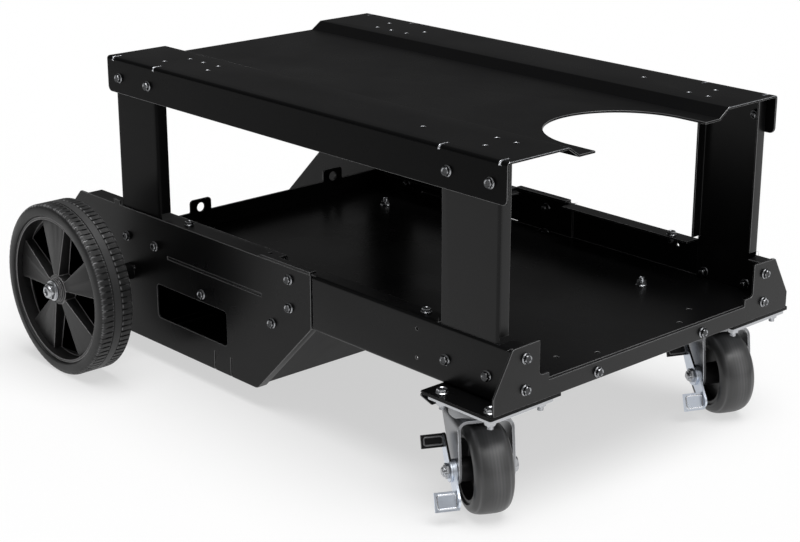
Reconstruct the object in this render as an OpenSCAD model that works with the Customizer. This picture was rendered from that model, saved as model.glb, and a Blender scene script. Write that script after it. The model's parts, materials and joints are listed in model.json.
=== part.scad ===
// Welding cart: a two-deck bent-sheet frame on two large fixed wheels and two swivel casters.
// X runs from the cylinder end to the caster end, Y across, Z up; the floor is Z = 0.
// The origin is on the floor, at the middle of the length and of the width.

/* [Frame] */
// Outside width of the shelf flanges, side panels and tray walls
frame_w = 506; // [440:1:600]
// Thickness of the bent sheet
sheet = 3; // [2:0.5:4]
// Inside radius of every sheet bend
bend_r = 1.5; // [1:0.5:3]

/* [Shelf] */
// X of the shelf's rear edge
shelf_rear_x = -275; // [-320:1:-265]
// X of the shelf's front edge
shelf_front_x = 536; // [526:1:560]
// Height of the raised side strips' top face
shelf_z = 449; // [400:1:560]
// Width of a raised side strip
strip_w = 103; // [80:1:125]
// Depth of the middle panel below the side strips
shelf_drop = 12; // [6:1:20]
// Run of the sloping step between strip and middle panel
step_run = 18; // [10:1:30]
// Height of the side flanges
shelf_flange = 52; // [45:1:70]
// Radius of the cut-out in the front edge
cutout_r = 104; // [80:1:115]
// Distance from the front edge to the centre of the cut-out
cutout_setback = 41; // [20:1:80]
// Radius of the flanges' lower corners
flange_corner_r = 8; // [2:1:20]

/* [Uprights] */
// Width of an upright's web
upright_w = 100; // [90:1:120]
// Depth of an upright's side flanges
upright_flange = 18; // [12:1:26]
// X of the middle of the rear uprights
rear_upright_x = -210; // [-214:1:-200]
// X of the middle of the front uprights
front_upright_x = 473; // [455:1:475]
// Spacing of the two bolts at each end of an upright
upright_bolt_pitch = 71; // [50:1:76]
// Height of the upper upright bolts below the shelf strips' top
upper_bolt_drop = 29; // [22:1:32]
// Height of the lower upright bolts above the tray floor
lower_bolt_rise = 9; // [9:0.5:16]

/* [Tray] */
// Height of the tray floor's top face
tray_z = 173; // [171:1:190]
// Height of the tray walls' top edge
rim_z = 226; // [222:1:250]
// Height of the tray walls' bottom edge, which is the casters' mounting level
deck_z = 150; // [149:1:150]
// X of the front plate's outer face
front_x = 551; // [551:1:560]
// Depth of the inward flange on top of the walls and panels
rim_flange = 27; // [24:1:32]
// Depth of the inward flange under the tray walls
foot_flange = 20; // [14:1:24]
// X of the seam between the side panels and the tray walls
seam_x = 183; // [165:1:195]
// Width of that seam
seam_gap = 4; // [2:0.5:6]
// X of the rear wall's rear face
rear_wall_x = -229; // [-230:1:-224]
// Height of the rear wall's top edge
rear_wall_z = 200; // [190:1:215]
// Height of the lugs above the rear wall
lug_rise = 19; // [16:1:26]
// Width of a lug
lug_w = 39; // [34:1:50]
// Distance of each lug from the cart's middle plane
lug_y = 131; // [90:1:180]
// Radius of a lug's hole
lug_hole_r = 7; // [4:0.5:8]

/* [Side panels] */
// Height of the panels' bottom edge
panel_z = 30; // [26:1:45]
// X of the panels' rear end
panel_rear_x = -551; // [-570:1:-530]
// Height of the short upright edge at the panels' rear end
panel_heel = 13; // [8:1:20]
// Slope of the panels' rear edge in degrees
rear_slope = 45; // [42:1:48]
// Slope of the panels' front edge in degrees
belly_slope = 45; // [42:1:50]
// Width of the flange along the panels' sloping and bottom edges
edge_flange = 15; // [10:1:20]
// Length of the window
window_len = 168; // [120:1:200]
// Height of the window
window_h = 52; // [40:1:60]
// X of the window's middle
window_x = -90; // [-100:1:-70]
// Height of the window's middle
window_z = 99; // [90:1:102]

/* [Rear wheels] */
// Diameter of the rear wheels
wheel_d = 254; // [250:1:260]
// X of the rear axle
axle_x = -244; // [-255:1:-243]
// Diameter of the rear axle
axle_d = 16; // [14:1:18]
// Width of the rear tyres
tyre_w = 56; // [50:1:62]
// Thickness of the rear tyres' rubber
tyre_t = 18; // [16:1:21]
// Distance of the rear wheels' middle planes outside the frame's sides
wheel_gap = 105; // [99:1:117]
// Radius of the wheels' hub
hub_r = 22; // [19:1:28]
// Half angle of a wheel spoke in degrees
spoke_half_angle = 17; // [12:1:22]
// Depth of the tread grooves
groove_depth = 2; // [1:0.5:3]

/* [Casters] */
// Diameter of the caster wheels
caster_d = 114; // [108:1:115]
// Width of the caster wheels' tread
caster_w = 51; // [44:1:52]
// Distance of the swivel axes inside the frame's sides
swivel_inset = 22; // [21:1:25]
// X of the swivel axes
swivel_x = 472; // [470:1:476]
// Offset of a caster wheel's axle from the swivel axis
caster_trail = 28; // [24:1:34]
// Heading of the right caster in degrees
heading_right = -28; // [-180:1:180]
// Heading of the left caster in degrees
heading_left = -24.5; // [-180:0.5:180]
// Thickness of the caster brackets
bracket_t = 4; // [3:0.5:5]
// Thickness of the casters' top plates
plate_t = 5; // [4:0.5:5.5]
// Thickness of the casters' forks
fork_t = 4; // [3:0.5:5]
// Inside width of the casters' forks
fork_gap = 64; // [62:1:68]
// Spacing of the caster bolts along the cart
caster_bolt_dx = 82; // [78:1:86]
// Spacing of the caster bolts across the cart
caster_bolt_dy = 86; // [84:1:88]

/* [Fasteners] */
// Diameter of the frame and caster bolts
bolt_d = 8; // [6:1:8]
// Width across the flats of the bolt heads and nuts
hex_af = 13; // [11:0.5:13]
// Height of the bolt heads
head_h = 5.5; // [4:0.5:7]
// Height of the nuts
nut_h = 6.5; // [5:0.5:7]
// Diameter of the flange under bolt heads and nuts
flange_d = 17; // [15:0.5:18]
// Diameter of the small holes for accessories
small_hole_d = 6; // [4:0.5:8]

/* [Fits] */
// Radial clearance of a bolt in its hole
bolt_clearance = 0.5; // [0.3:0.1:0.8]
// Radial clearance of a running fit
running_fit = 0.08; // [0.03:0.01:0.1]
// Gap between faces that turn past each other
face_gap = 0.3; // [0.2:0.05:0.5]
// Gap beside a sheet that lies between two others
side_gap = 0.5; // [0.3:0.1:1]

/* [Hidden] */
LEFT = 1;
RIGHT = -1;
$fn = 64;
eps = 0.01;
long = 2000;

half_w = frame_w / 2;
inner_y = half_w - sheet;
web_y = inner_y - sheet;
wheel_y = half_w + wheel_gap;
swivel_y = half_w - swivel_inset;
bolt_r = bolt_d / 2;
bolt_hole_r = bolt_r + bolt_clearance;
small_hole_r = small_hole_d / 2;
flange_t = 1.5;
thread_end = 2;
arc_step = 15;
drill_reach = 12;

// Shelf
shelf_mid_z = shelf_z - shelf_drop;
strip_y = half_w - strip_w;
upper_bolt_z = shelf_z - upper_bolt_drop;
cutout_x = shelf_front_x - cutout_setback;
strip_hole_y = half_w - 73;
strip_hole_x = concat([for (d = [104, 136, 171]) shelf_rear_x + d], [for (d = [89, 57]) shelf_front_x - d]);
outer_hole_y = strip_hole_y + 36;
outer_hole_x = [shelf_rear_x + 92, shelf_front_x - 73];
middle_hole_y = strip_hole_y + 27;
middle_hole_x = [outer_hole_x[0] + 91, outer_hole_x[1] - 116];
shelf_holes = [
    for (x = strip_hole_x) [x, strip_hole_y],
    for (x = outer_hole_x) [x, outer_hole_y],
    for (x = middle_hole_x) [x, middle_hole_y]
];

// Uprights
upright_top_gap = 2;
upright_top = shelf_z - sheet - upright_top_gap;
flange_foot_gap = 6;
lower_bolt_z = tray_z + lower_bolt_rise;
tab_edge = 20;
tab_bottom = lower_bolt_z - tab_edge;
tab_corner_r = 10;
notch_gap = 2;

// Tray
floor_bottom = tray_z - sheet;
plate_back_x = front_x - sheet;
floor_front_x = plate_back_x - sheet;
tray_rear_x = rear_wall_x + sheet;
floor_side_flange = 45;
floor_flange_front_gap = 20;
front_lug_w = 29;
tongue_len = 107;
tongue_lap = 3;
tongue_bottom_rise = 6;
hook_w = 12;
hook_h = 4;
seam_bolt_x = seam_x - 47;
seam_bolt_z = [rim_z - 17, rim_z - 57];
nut_room = 10;
wall_hole_x = front_upright_x - 87;
wall_hole_z = [deck_z + 20, rim_z - 18];
floor_holes = [[front_x - 45, 129], [front_x - 21, 80]];

// Side panels
panel_front_x = seam_x - seam_gap / 2;
belly_foot_x = panel_front_x - (deck_z - panel_z) / tan(belly_slope);
panel_top_rear_x = panel_rear_x + (rim_z - panel_z - panel_heel) / tan(rear_slope);
belly_corner_r = 12;
heel_corner_r = 6;
rim_flange_front_x = seam_x - tongue_len - 8;
rim_flange_rear_x = panel_top_rear_x + 18;
low_bolt_x = [seam_x - 85, seam_x - 245];
low_bolt_z = floor_bottom - 33;
slot_len = 220;
slot_x = seam_x - tongue_len - slot_len / 2;
slot_clear = 0.75;
slit_w = 2;
slit_h = 28;
slit_x = [-36, 2];
upstand_len = 15;
upstand_h = 7;
pip_hole_x = rear_upright_x - 20;
pip_hole_r = 2;

// Cylinder platform
platform_y = web_y - side_gap;
platform_z = panel_z + sheet;
platform_flange = 22;

// Rear wall
rear_wall_y = inner_y - side_gap;
rear_wall_foot = 20;
lug_corner_r = 6;
lug_hole_drop = 13;

// Inner rails
rail_rear_x = -194;
rail_len = 279;
rail_inner_y = half_w - 41;
rail_outer_gap = 1;
rail_leg = 23;

// Bolt places on the tray
floor_bolt_x = [-130, 399];
floor_bolt_y = half_w - 94.5;
rim_bolt_x = [-110, 385];
rim_bolt_y = half_w - 17;

// Front plate
ear_y = half_w - 46;
ear_step_y = ear_y - 17;
ear_step_rise = 10;
ear_top = rim_z + 2;
ear_reach = 31;
ear_slant_z = deck_z + 23;
front_bolt_y = half_w - 22;
front_bolt_z = [rim_z - 15, rim_z - 55];
lip_bolt_y = 102;
lip_bolt_z = floor_bottom - bend_r - flange_d / 2 - side_gap;

// Rear wheels
wheel_r = wheel_d / 2;
rim_r = wheel_r - tyre_t;
axle_r = axle_d / 2;
hub_in_y = wheel_y - tyre_w / 2 - 4;
hub_out_y = wheel_y + tyre_w / 2 - 2;
hub_ring_h = 3;
hub_boss_h = 2;
hub_bore_r = axle_r + 3;
bush_len = 20;
washer_t = 3;
washer_r = axle_r + 7;
axle_nut_h = 11;
axle_nut_af = 21;
axle_end_y = hub_out_y + face_gap + washer_t + axle_nut_h + 2.5;
spacer_wall = 5;
spoke_count = 5;
spoke_phase = 94;
web_half = 3;
rim_wall = 5;
rim_half = tyre_w / 2 - 3;
spoke_r = rim_r - rim_wall - 0.8;
tread_half = tyre_w / 2 - 4.5;
centre_rib = 11;
groove_count = 90;
groove_share = 0.3;
tyre_bead_h = 3;
shoulder_h = 9;
bead_edge = 2;
band_gap = 1.5;
rib_edge = 0.5;

// Casters
caster_r = caster_d / 2;
plate_top = deck_z - bracket_t;
plate_bottom = plate_top - plate_t;
bolt_mid_x = front_x - 56;
plate_front_x = front_x - 2;
plate_rear_x = bolt_mid_x - caster_bolt_dx / 2 - 16;
plate_half_y = 55;
bracket_rear_x = plate_rear_x - bracket_t - 3;
bracket_in_y = swivel_y - plate_half_y - 9;
bracket_out_y = swivel_y + plate_half_y + 3;
bracket_flange = 20;
bracket_chamfer = 19;
kingpin_r = 6;
kingpin_head_r = 12;
kingpin_head_h = 6;
race_r = 34;
ball_r = 3.5;
ball_ring_r = 27;
ball_count = 18;
ball_z = plate_bottom - 9;
race_gap = 2;
crown_top = plate_bottom - 18;
crown_front = 50;
crown_back = 36;
crown_edge = 7;
fork_out = fork_gap / 2 + fork_t;
leg_foot_r = 17;
leg_neck = 34;
leg_neck_r = 30;
caster_axle_r = 5;
sleeve_r = 8;
core_r = caster_r - 14;
core_hub_r = 15;
core_web_half = 8;
tread_round = 12;
axle_head_h = 6.5;
axle_head_af = 17;

// Side brake
lever_t = 3;
cam_t = 2.4;
cam_r = 14;
lever_in = fork_out + face_gap;
pedal_bar_y = lever_in + cam_t;
lever_bar_y = pedal_bar_y + lever_t;
nut_seat = lever_bar_y + lever_t + face_gap;
lever_up = [-25, 30];
lever_down = [28, -27];
lever_end_r = 9;
pedal_reach = 31;
upper_pedal_h = 17;
lower_pedal_h = 24;
pedal_t = 3;
pedal_tilt = 20;
lever_root_r = 12.5;

steel_black = [0.06, 0.06, 0.065];
rubber_black = [0.05, 0.05, 0.05];
moulded_black = [0.09, 0.09, 0.095];
bright_zinc = [0.78, 0.79, 0.8];

// Unit vector along v
function unit(v) = v / norm(v);
// Signed turn of the path a-b-c, positive to the left
function turn(a, b, c) = (b[0] - a[0]) * (c[1] - b[1]) - (b[1] - a[1]) * (c[0] - b[0]);
// Vector v turned left by a degrees
function turned(v, a) = [v[0] * cos(a) - v[1] * sin(a), v[0] * sin(a) + v[1] * cos(a)];
// Points of the arc of radius r that rounds the corner b of the path a-b-c
function corner_arc(a, b, c, r) =
    let (d1 = unit(a - b), d2 = unit(c - b), half = acos(max(-1, min(1, d1 * d2))) / 2)
    (r <= 0 || half > 89.9) ? [b] :
    let (centre = b + unit(d1 + d2) * r / sin(half), start = b + d1 * r / tan(half) - centre,
         sweep = (turn(a, b, c) > 0 ? 1 : -1) * (180 - 2 * half), steps = max(1, ceil(abs(sweep) / arc_step)))
    [for (i = [0 : steps]) centre + turned(start, sweep * i / steps)];
// Closed outline whose corner i is rounded with radii[i]
function rounded(points, radii) = let (n = len(points))
    [for (i = [0 : n - 1])
        each corner_arc(points[(i + n - 1) % n], points[i], points[(i + 1) % n], radii[i])];
// Normal to the left of the step a-b
function left_of(a, b) = turned(unit(b - a), 90);
// Corner i of the path moved d to the left
function moved_corner(path, i, d) =
    i == 0 ? path[0] + left_of(path[0], path[1]) * d :
    i == len(path) - 1 ? path[i] + left_of(path[i - 1], path[i]) * d :
    let (n1 = left_of(path[i - 1], path[i]), n2 = left_of(path[i], path[i + 1]))
    path[i] + (n1 + n2) * d / (1 + n1 * n2);
// One face of a bent sheet, d to the left of the path, with its bends rounded
function face_line(path, d, t) =
    let (line = [for (i = [0 : len(path) - 1]) moved_corner(path, i, d)])
    [for (i = [0 : len(path) - 1])
        each (i == 0 || i == len(path) - 1) ? [line[i]] :
            corner_arc(line[i - 1], line[i], line[i + 1],
                turn(path[i - 1], path[i], path[i + 1]) > 0 ? bend_r + t - d : bend_r + d)];
function reversed(v) = [for (i = [len(v) - 1 : -1 : 0]) v[i]];
// Section of a sheet of thickness t that lies to the left of the path
function sheet_section(path, t) = concat(face_line(path, 0, t), reversed(face_line(path, t, t)));

// Stretches a section drawn as (Y, Z) along X, from x0 to x1
module along_x(x0, x1) {
    translate([x0, 0, 0]) rotate([90, 0, 90]) linear_extrude(x1 - x0) children();
}

// Stretches a section drawn as (X, Z) along Y, from y0 to y1
module along_y(y0, y1) {
    translate([0, y1, 0]) rotate([90, 0, 0]) linear_extrude(y1 - y0) children();
}

// The same on one side of the cart, from distance y0 to distance y1
module side_slab(side, y0, y1) {
    along_y(side > 0 ? y0 : -y1, side > 0 ? y1 : -y0) children();
}

// A box between two corners on one side of the cart, with y as the distance from the middle plane
module side_box(side, low, high) {
    translate([low[0], side > 0 ? low[1] : -high[1], low[2]])
        cube([high[0] - low[0], high[1] - low[1], high[2] - low[2]]);
}

// Stands its children on a side face, with their +Z outward
module on_side(side, x, y, z) {
    translate([x, side * y, z]) rotate([-90 * side, 0, 0]) children();
}

// A hole of radius r through the sheet at distance y on one side
module side_hole(side, x, y, z, r) {
    on_side(side, x, y, z) translate([0, 0, -drill_reach]) cylinder(r = r, h = 2 * drill_reach);
}

module hex(af, h) {
    cylinder(d = af / cos(30), h = h, $fn = 6);
}

// Flanged bolt with its seat at Z = 0 and its shank down through a stack of sheets and a nut
module bolt(stack) {
    cylinder(d = flange_d, h = flange_t);
    hex(hex_af, head_h);
    shank = stack + nut_h + thread_end;
    translate([0, 0, -shank]) cylinder(r = bolt_r, h = shank + eps);
}

// Flanged nut with its seat at Z = 0, opening away from the sheet
module nut() {
    difference() {
        union() {
            translate([0, 0, -flange_t]) cylinder(d = flange_d, h = flange_t);
            translate([0, 0, -nut_h]) hex(hex_af, nut_h);
        }
        translate([0, 0, -nut_h - 1]) cylinder(r = bolt_r + running_fit, h = nut_h + 2);
    }
}

// Places of the bolts in each group
module at_shelf_bolts() {
    for (side = [LEFT, RIGHT], x = [rear_upright_x, front_upright_x], k = [-1, 1])
        on_side(side, x + k * upright_bolt_pitch / 2, half_w, upper_bolt_z) children();
}

module at_upright_bolts() {
    for (side = [LEFT, RIGHT], x = [rear_upright_x, front_upright_x], k = [-1, 1])
        on_side(side, x + k * upright_bolt_pitch / 2, half_w, lower_bolt_z) children();
}

module at_panel_bolts() {
    for (side = [LEFT, RIGHT]) {
        for (z = seam_bolt_z) on_side(side, seam_bolt_x, half_w, z) children();
        for (x = low_bolt_x) on_side(side, x, half_w, low_bolt_z) children();
    }
}

module at_front_bolts() {
    for (side = [LEFT, RIGHT]) {
        for (z = front_bolt_z)
            translate([front_x, side * front_bolt_y, z]) rotate([0, 90, 0]) children();
        translate([front_x, side * lip_bolt_y, lip_bolt_z]) rotate([0, 90, 0]) children();
    }
}

module at_caster_bolts() {
    for (side = [LEFT, RIGHT], i = [-1, 1], j = [-1, 1])
        translate([bolt_mid_x + i * caster_bolt_dx / 2, side * (swivel_y + j * caster_bolt_dy / 2), deck_z])
            children();
}

module at_floor_bolts() {
    for (side = [LEFT, RIGHT], x = floor_bolt_x) translate([x, side * floor_bolt_y, tray_z]) children();
}

module at_rim_bolts(places) {
    for (side = [LEFT, RIGHT], x = places) translate([x, side * rim_bolt_y, rim_z]) children();
}

// Bolt holes through everything near a place
module drill() {
    translate([0, 0, -drill_reach]) cylinder(r = bolt_hole_r, h = 2 * drill_reach);
}

// Shelf: raised strips, sloping steps, a lower middle panel and side flanges, in one sheet
module top_shelf() {
    half = [[half_w, shelf_z - shelf_flange], [half_w, shelf_z], [strip_y, shelf_z],
            [strip_y - step_run, shelf_mid_z]];
    path = concat(half, [for (p = reversed(half)) [-p[0], p[1]]]);
    outline = rounded([[shelf_rear_x, shelf_z - shelf_flange], [shelf_front_x, shelf_z - shelf_flange],
                       [shelf_front_x, shelf_z + 1], [shelf_rear_x, shelf_z + 1]],
                      [flange_corner_r, flange_corner_r, 0, 0]);
    color(steel_black) difference() {
        intersection() {
            along_x(shelf_rear_x, shelf_front_x) polygon(sheet_section(path, sheet));
            along_y(-half_w - 1, half_w + 1) polygon(outline);
        }
        translate([cutout_x, 0, shelf_mid_z - 2 * sheet]) cylinder(r = cutout_r, h = 4 * sheet, $fn = 128);
        translate([cutout_x, -cutout_r, shelf_mid_z - 2 * sheet]) cube([long, 2 * cutout_r, 4 * sheet]);
        at_shelf_bolts() drill();
        for (side = [LEFT, RIGHT], p = shelf_holes)
            translate([p[0], side * p[1], shelf_z - 2 * sheet]) cylinder(r = small_hole_r, h = 3 * sheet);
    }
}

// Upright: a channel whose web runs on below its flanges as a tab inside the wall
module upright(side, x) {
    x0 = x - upright_w / 2;
    x1 = x + upright_w / 2;
    channel = [[x1, inner_y - upright_flange], [x1, inner_y], [x0, inner_y], [x0, inner_y - upright_flange]];
    outline = rounded([[x0, tab_bottom], [x1, tab_bottom], [x1, upright_top], [x0, upright_top]],
                      [tab_corner_r, tab_corner_r, 0, 0]);
    color(steel_black) difference() {
        intersection() {
            mirror([0, side > 0 ? 0 : 1, 0])
                linear_extrude(upright_top) polygon(sheet_section(channel, sheet));
            along_y(-half_w, half_w) polygon(outline);
        }
        side_box(side, [x0 - 1, 0, 0], [x1 + 1, web_y - eps, rim_z + flange_foot_gap]);
        for (k = [-1, 1], z = [upper_bolt_z, lower_bolt_z])
            side_hole(side, x + k * upright_bolt_pitch / 2, half_w, z, bolt_hole_r);
    }
}

// Slots that an upright's tab passes through, in the top flange and in the tray floor
module upright_slots(side, x) {
    x0 = x - upright_w / 2 - notch_gap;
    x1 = x + upright_w / 2 + notch_gap;
    side_box(side, [x0, 0, rim_z - sheet - bend_r - 1], [x1, inner_y, rim_z + 1]);
    side_box(side, [x0, web_y - side_gap, tab_bottom - notch_gap], [x1, inner_y, tray_z + 1]);
}

// Tray: floor, side walls with inward flanges, tongues behind the side panels and a turned-down front
module base_tray() {
    color(steel_black) difference() {
        union() {
            translate([tray_rear_x, -inner_y, floor_bottom])
                cube([floor_front_x + eps - tray_rear_x, 2 * inner_y, sheet]);
            front_path = [[floor_front_x - 10, tray_z], [plate_back_x, tray_z], [plate_back_x, deck_z]];
            along_y(-inner_y, inner_y) polygon(sheet_section(reversed(front_path), sheet));
            for (side = [LEFT, RIGHT]) tray_side(side);
        }
        for (side = [LEFT, RIGHT]) {
            for (x = [rear_upright_x, front_upright_x]) upright_slots(side, x);
            side_box(side, [floor_front_x - nut_room, front_bolt_y - nut_room, floor_bottom - bend_r - 1],
                     [floor_front_x, inner_y, tray_z + 1]);
            side_box(side, [seam_bolt_x - nut_room, web_y - nut_room, floor_bottom - 1],
                     [seam_bolt_x + nut_room, web_y, tray_z + 1]);
            for (z = wall_hole_z) side_hole(side, wall_hole_x, half_w, z, pip_hole_r);
            for (p = floor_holes)
                translate([p[0], side * p[1], floor_bottom - 1]) cylinder(r = small_hole_r, h = sheet + 2);
        }
        at_upright_bolts() drill();
        at_panel_bolts() drill();
        at_front_bolts() drill();
        at_floor_bolts() drill();
        at_rim_bolts([rim_bolt_x[1]]) drill();
    }
}

// One side of the tray: the wall, the tongue with its hook, the floor's turned-down edge and its slot tab
module tray_side(side) {
    wall = side > 0
        ? [[half_w - foot_flange, deck_z], [half_w, deck_z], [half_w, rim_z], [half_w - rim_flange, rim_z]]
        : [[-half_w + rim_flange, rim_z], [-half_w, rim_z], [-half_w, deck_z],
           [-half_w + foot_flange, deck_z]];
    wall_x = seam_x + seam_gap / 2;
    along_x(wall_x, plate_back_x) polygon(sheet_section(wall, sheet));
    side_box(side, [floor_front_x, inner_y - front_lug_w, deck_z], [plate_back_x, inner_y + eps, rim_z]);
    tongue_x = seam_x - tongue_len;
    side_box(side, [tongue_x, web_y, deck_z + tongue_bottom_rise], [wall_x + tongue_lap, inner_y, rim_z]);
    side_box(side, [tongue_x, web_y, rim_z - eps], [panel_front_x - 1, inner_y, rim_z + hook_h]);
    side_box(side, [tongue_x, half_w - hook_w, rim_z], [panel_front_x - 1, half_w, rim_z + hook_h]);
    side_box(side, [tray_rear_x, web_y, floor_bottom - floor_side_flange],
             [tongue_x + floor_flange_front_gap, inner_y, floor_bottom + eps]);
    side_box(side, [slot_x - slot_len / 2 + slot_clear, inner_y - eps, floor_bottom],
             [slot_x + slot_len / 2 - slot_clear, half_w - 1, tray_z]);
}

// Side panel: plate with a top flange, a flange along the sloping and bottom edges, window and slits
module side_panel(side) {
    heel = [panel_rear_x, panel_z];
    plate = [heel, [belly_foot_x, panel_z], [panel_front_x, deck_z], [panel_front_x, rim_z],
             [panel_top_rear_x, rim_z], [panel_rear_x, panel_z + panel_heel]];
    edge = [[panel_rear_x + 3, panel_z], [belly_foot_x, panel_z], [panel_front_x, deck_z]];
    color(steel_black) difference() {
        union() {
            side_slab(side, inner_y, half_w)
                polygon(rounded(plate, [heel_corner_r, belly_corner_r, 0, 1, 6, 3]));
            side_slab(side, half_w - edge_flange, inner_y + eps) polygon(flange_ribbon(edge));
            side_box(side, [rim_flange_rear_x, half_w - rim_flange, rim_z - sheet],
                     [rim_flange_front_x, inner_y + eps, rim_z]);
            side_box(side, [rear_upright_x - upright_w / 2 - notch_gap - upstand_len, inner_y, rim_z - eps],
                     [rear_upright_x - upright_w / 2 - notch_gap, half_w, rim_z + upstand_h]);
        }
        side_slab(side, inner_y - 1, half_w + 1) polygon(window_outline);
        upright_slots(side, rear_upright_x);
        side_box(side, [slot_x - slot_len / 2, inner_y - 1, floor_bottom - slot_clear],
                 [slot_x + slot_len / 2, half_w + 1, tray_z + slot_clear]);
        for (x = slit_x)
            side_box(side, [x - slit_w / 2, inner_y - eps, panel_z - 1],
                     [x + slit_w / 2, half_w + 1, panel_z + slit_h]);
        side_hole(side, axle_x, half_w, wheel_r, axle_r + bolt_clearance);
        side_hole(side, pip_hole_x, half_w, low_bolt_z, pip_hole_r);
        at_upright_bolts() drill();
        at_panel_bolts() drill();
        at_rim_bolts([rim_bolt_x[0]]) drill();
    }
}
window_outline = rounded([[window_x - window_len / 2, window_z - window_h / 2],
                          [window_x + window_len / 2, window_z - window_h / 2],
                          [window_x + window_len / 2, window_z + window_h / 2],
                          [window_x - window_len / 2, window_z + window_h / 2]], [6, 6, 6, 6]);

// Strip of sheet to the left of an edge, with the panel's corner radius outside
function flange_ribbon(edge) =
    let (inner = [for (i = [0 : 2]) moved_corner(edge, i, sheet)])
    concat([edge[0]], corner_arc(edge[0], edge[1], edge[2], belly_corner_r), [edge[2]],
           [inner[2]], corner_arc(inner[2], inner[1], inner[0], belly_corner_r - sheet), [inner[0]]);

// Platform: flat bottom for the gas cylinder, sloping front and a flange under the tray floor
module cylinder_platform() {
    edge = [[panel_rear_x, panel_z], [belly_foot_x, panel_z], [panel_front_x, deck_z]];
    foot = moved_corner(edge, 1, sheet);
    head = foot + unit(edge[2] - edge[1]) * (floor_bottom - sheet - foot[1]) / sin(belly_slope);
    path = [[panel_rear_x + 1, platform_z], foot, head, head + [platform_flange, 0]];
    color(steel_black) difference() {
        along_y(-platform_y, platform_y) polygon(platform_section(path));
        for (side = [LEFT, RIGHT], x = slit_x)
            side_box(side, [x - slit_w / 2, platform_y - 2, panel_z],
                     [x + slit_w / 2, half_w, platform_z + sheet + 1]);
    }
}

// Section of the platform: the belly corner keeps the panels' larger radius
function platform_section(path) =
    let (upper = [for (i = [0 : 3]) moved_corner(path, i, sheet)], r = belly_corner_r - sheet)
    concat([path[0]], corner_arc(path[0], path[1], path[2], r),
           corner_arc(path[1], path[2], path[3], bend_r), [path[3]], [upper[3]],
           corner_arc(upper[3], upper[2], upper[1], bend_r + sheet),
           corner_arc(upper[2], upper[1], upper[0], r - sheet), [upper[0]]);

// Rear wall between the machine bay and the cylinder bay, with two holed lugs
module rear_wall() {
    lug_top = rear_wall_z + lug_rise;
    function lug(y) = [[y + lug_w / 2, rear_wall_z], [y + lug_w / 2, lug_top],
                       [y - lug_w / 2, lug_top], [y - lug_w / 2, rear_wall_z]];
    base = platform_z + sheet;
    outline = concat([[-rear_wall_y, base], [rear_wall_y, base], [rear_wall_y, rear_wall_z]],
                     lug(lug_y), lug(-lug_y), [[-rear_wall_y, rear_wall_z]]);
    radii = [0, 0, 0, 2, lug_corner_r, lug_corner_r, 2, 2, lug_corner_r, lug_corner_r, 2, 0];
    color(steel_black) difference() {
        union() {
            along_x(rear_wall_x, tray_rear_x) polygon(rounded(outline, radii));
            translate([tray_rear_x - eps, -platform_y + edge_flange, base])
                cube([rear_wall_foot, 2 * (platform_y - edge_flange), sheet]);
        }
        for (side = [LEFT, RIGHT]) {
            translate([rear_wall_x - 1, side * lug_y, lug_top - lug_hole_drop]) rotate([0, 90, 0])
                cylinder(r = lug_hole_r, h = sheet + 2);
            side_box(side, [rear_wall_x - 1, web_y - side_gap, tab_bottom - notch_gap],
                     [tray_rear_x + 1, inner_y, rear_wall_z + 1]);
        }
    }
}

// Inner rail: an angle bolted under the side panel's top flange
module inner_rail(side) {
    top = rim_z - sheet;
    outer = web_y - rail_outer_gap;
    path = side > 0
        ? [[outer, top], [rail_inner_y, top], [rail_inner_y, top - rail_leg]]
        : [[-rail_inner_y, top - rail_leg], [-rail_inner_y, top], [-outer, top]];
    color(steel_black) difference() {
        along_x(rail_rear_x, rail_rear_x + rail_len) polygon(sheet_section(path, sheet));
        at_rim_bolts([rim_bolt_x[0]]) drill();
    }
}

// Front plate with its two ears
module front_plate() {
    half = [[half_w + ear_reach, deck_z], [half_w + ear_reach, ear_slant_z], [half_w, ear_top - 1],
            [ear_y, ear_top], [ear_y, tray_z + ear_step_rise], [ear_step_y, tray_z + ear_step_rise],
            [ear_step_y, tray_z]];
    radii = [2, 3, 3, 2, 6, 2, 2];
    outline = concat(half, [for (p = reversed(half)) [-p[0], p[1]]]);
    color(steel_black) difference() {
        along_x(plate_back_x, front_x) polygon(rounded(outline, concat(radii, reversed(radii))));
        at_front_bolts() drill();
    }
}

// Caster bracket: a plate across the tray's corner with a turned-down rear edge
module caster_bracket(side) {
    flange = [[bracket_out_y, deck_z - 1], [bracket_out_y - bracket_chamfer, deck_z - bracket_flange],
              [bracket_in_y, deck_z - bracket_flange], [bracket_in_y, deck_z - 1]];
    plan = rounded([[bracket_rear_x, bracket_in_y], [front_x, bracket_in_y], [front_x, bracket_out_y],
                    [bracket_rear_x, bracket_out_y]], [0, 2, 3, 3]);
    color(steel_black) difference() {
        union() {
            translate([0, 0, plate_top]) linear_extrude(bracket_t)
                polygon([for (p = plan) [p[0], side * p[1]]]);
            along_x(bracket_rear_x, bracket_rear_x + bracket_t)
                polygon([for (p = flange) [side * p[0], p[1]]]);
        }
        at_caster_bolts() drill();
        translate([swivel_x, side * swivel_y, plate_top - 1])
            cylinder(r = kingpin_head_r + 1, h = bracket_t + 2);
    }
}

// Fasteners, one group for each joint of the frame
module frame_bolts(stack) {
    color(bright_zinc) bolt(stack);
}

module frame_nuts(stack) {
    color(bright_zinc) translate([0, 0, -stack]) nut();
}

module shelf_bolts() {
    at_shelf_bolts() frame_bolts(2 * sheet);
}

module shelf_nuts() {
    at_shelf_bolts() frame_nuts(2 * sheet);
}

module upright_bolts() {
    at_upright_bolts() frame_bolts(2 * sheet);
}

module upright_nuts() {
    at_upright_bolts() frame_nuts(2 * sheet);
}

module panel_bolts() {
    at_panel_bolts() frame_bolts(2 * sheet);
}

module panel_nuts() {
    at_panel_bolts() frame_nuts(2 * sheet);
}

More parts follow.
